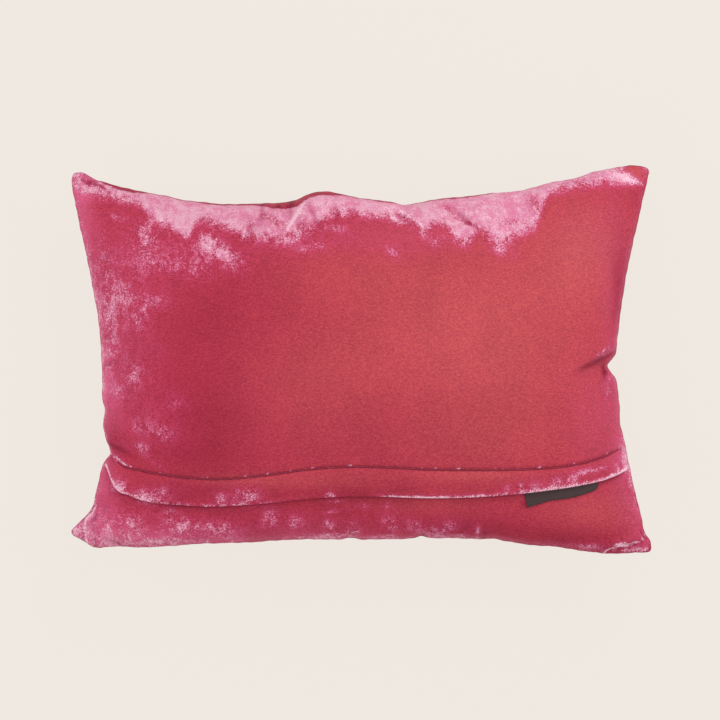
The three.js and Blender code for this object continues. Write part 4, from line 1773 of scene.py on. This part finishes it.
    def _crushed_sheen(self, bench: Bench, breakup: Any) -> Any:
        """How pale the crushed pile shows, in part a painted sheen, broken up most where it is half
        covered.

        Args:
            bench: The material's bench.
            breakup: What breaks it up.

        Returns:
            A value between 0 and 1.
        """
        covered = bench.stored("crushed_sheen")
        room = bench.math("MULTIPLY", covered, bench.math("SUBTRACT", 1.0, covered))
        sway = bench.math("MULTIPLY", room, bench.scaled(breakup, -1.5, 1.5))
        return bench.eased(bench.math("ADD", covered, sway), 0.12, 1.0)


@dataclass(frozen=True)
class WovenRibbon:
    """Fine dark brown woven ribbon."""

    dark: str = "2f2426"
    light: str = "544144"
    threads: float = 1900.0
    turn: float = -11.0

    def make(self) -> bpy.types.Material:
        """Builds the finish.

        Returns:
            The material.
        """
        bench = Bench("woven_ribbon")
        yarns = []
        for scale, size, bands in (((self.threads, 1, 1), 0.16, "X"),
                                   ((1, self.threads, 1), 0.2, "Y")):
            inputs = {"Vector": bench.stretched(scale, self.turn), "Scale": size,
                      "Distortion": 0.6, "Detail": 1.0}
            yarn = bench.node("TexWave", inputs, bands_direction=bands).outputs["Fac"]
            yarns.append(bench.scaled(yarn, 0.55, 1))
        cloth = bench.math("MULTIPLY", *yarns)
        worn = bench.noise(bench.stretched((160, 160, 160)), 4.0, 0.6)
        shade = bench.math("MULTIPLY", cloth, bench.scaled(worn, 0.75, 1.0))
        return bench.surface({
            "Base Color": bench.blend(shade, dye(self.dark), dye(self.light)),
            "Roughness": bench.scaled(worn, 0.6, 0.8),
            "Specular IOR Level": 0.3,
            "Normal": bench.raised(cloth, 0.15, 0.5),
        })


@dataclass(frozen=True)
class SilkThread:
    """Twisted silk sewing thread, a shade deeper than the velvet."""

    dark: str = "84203f"
    light: str = "b83c58"

    def make(self) -> bpy.types.Material:
        """Builds the finish.

        Returns:
            The material.
        """
        bench = Bench("silk_thread")
        twist = bench.node("TexWave", {"Vector": bench.stretched((900, 900, 900), 40),
                                       "Scale": 0.5, "Distortion": 0.5},
                           bands_direction="DIAGONAL").outputs["Fac"]
        fibre = bench.noise(bench.stretched((900, 900, 900)), 2.0, 0.6)
        shade = bench.math("MULTIPLY", twist, bench.scaled(fibre, 0.6, 1.0))
        return bench.surface({
            "Base Color": bench.blend(shade, dye(self.dark), dye(self.light)),
            "Roughness": bench.scaled(fibre, 0.4, 0.6),
            "Normal": bench.raised(twist, 0.1, 0.6),
        })


@dataclass(frozen=True)
class PaleTable:
    """The plain pale table top, lit evenly enough that the pillow hardly shades it."""

    colour: str = "f0e9e1"
    glow: float = 0.95
    share: float = 0.05

    def make(self) -> bpy.types.Material:
        """Builds the finish.

        Returns:
            The material.
        """
        bench = Bench("pale_table")
        cloud = bench.noise(bench.stretched((5, 5, 5)), 2.0, 0.5)
        pale = dye(self.colour)
        soft = tuple(c * self.share for c in pale[:3]) + (1.0,)
        near = tuple(c * self.share * 0.99 for c in pale[:3]) + (1.0,)
        return bench.surface({
            "Base Color": bench.blend(cloud, near, soft),
            "Roughness": 1.0,
            "Specular IOR Level": 0.0,
            "Emission Color": pale,
            "Emission Strength": self.glow,
        })


@dataclass(frozen=True)
class SoftBox:
    """One soft studio light."""

    name: str
    place: tuple[float, float, float]
    aim: tuple[float, float, float]
    size: float
    power: float
    colour: tuple[float, float, float] = (1.0, 1.0, 1.0)

    def make(self) -> None:
        """Adds the light."""
        light = bpy.data.lights.new(self.name, "AREA")
        light.shape = "DISK"
        light.size = self.size
        light.energy = self.power
        light.color = self.colour
        holder = bpy.data.objects.new(self.name, light)
        holder.location = self.place
        way = Vector(self.aim) - Vector(self.place)
        holder.rotation_euler = way.to_track_quat("-Z", "Y").to_euler()
        bpy.context.scene.collection.objects.link(holder)


@dataclass
class Studio:
    """The table, the soft light and the camera."""

    view: PhotoView
    boxes: tuple[SoftBox, ...] = (
        SoftBox("key_light", (0.6, 1.25, 1.25), (0.0, 0.0, 0.05), 0.9, 13.4),
        SoftBox("right_light", (1.5, 0.1, 1.2), (0.0, 0.0, 0.05), 0.9, 9.4),
        SoftBox("left_light", (-1.5, 0.2, 0.9), (-0.1, 0.0, 0.05), 0.9, 7.2),
        SoftBox("fill_light", (-0.8, -1.3, 1.5), (0.0, 0.0, 0.05), 1.4, 9.9),
    )
    ambient: float = 0.42
    table_radius: float = 5.0
    table_gap: float = 0.0005
    air: str = "f0e9e1"

    def build(self) -> None:
        """Sets up the studio."""
        self.view.make()
        for box in self.boxes:
            box.make()
        world = bpy.data.worlds.new("studio_air")
        world.use_nodes = True
        sky = world.node_tree.nodes["Background"]
        sky.inputs["Color"].default_value = dye(self.air)
        sky.inputs["Strength"].default_value = self.ambient
        bpy.context.scene.world = world
        bpy.context.scene.view_settings.view_transform = "Standard"
        self._table()

    def _table(self) -> None:
        """The round table top, with a narrow ring round it."""
        deselect_all()
        bpy.ops.mesh.primitive_circle_add(vertices=96, radius=self.table_radius, fill_type="NGON")
        table = bpy.context.active_object
        table.name = "pale_table_top"
        bpy.ops.object.mode_set(mode="EDIT")
        bpy.ops.mesh.select_all(action="SELECT")
        bpy.ops.mesh.inset(thickness=0.2, depth=0.0)
        bpy.ops.object.mode_set(mode="OBJECT")
        table.data.transform(Matrix.Translation((0, 0, -self.table_gap)))
        table.data.materials.append(PaleTable().make())


@dataclass
class LumbarPillow:
    """The whole pillow."""

    view: PhotoView
    outline: SeamOutline = field(default_factory=SeamOutline)
    fullness: Fullness = field(default_factory=Fullness)

    def build(self) -> list[bpy.types.Object]:
        """Makes every piece and dresses it.

        Returns:
            The pieces.
        """
        panels = PillowFilling(self.outline, self.fullness).fill()
        closure = Closure(PillowShape(self.outline, self.fullness, panels, self.view))
        pile = PileMap(self.view)
        velvet = CrushedVelvet().make()
        cover, dressing = VelvetCover(closure).build()
        pile.dress(cover, dressing)
        flap, dressing = ClosureFlap(closure).build()
        pile.dress(flap, dressing)
        for piece in (cover, flap):
            piece.data.materials.append(velvet)
        label = LabelRibbon(closure).build()
        label.data.materials.append(WovenRibbon().make())
        stitches = Topstitch(closure).build()
        stitches.data.materials.append(SilkThread().make())
        pieces = [cover, flap, label, stitches]
        for piece in pieces:
            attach(piece, "root")
            LOG.info("%s: %d faces", piece.name, len(piece.data.polygons))
        return pieces


def main() -> None:
    """Builds the pillow and the studio."""
    logging.basicConfig(level=logging.INFO, format="%(name)s: %(message)s")
    view = PhotoView()
    Studio(view).build()
    LumbarPillow(view).build()


if __name__ == "__main__":
    main()
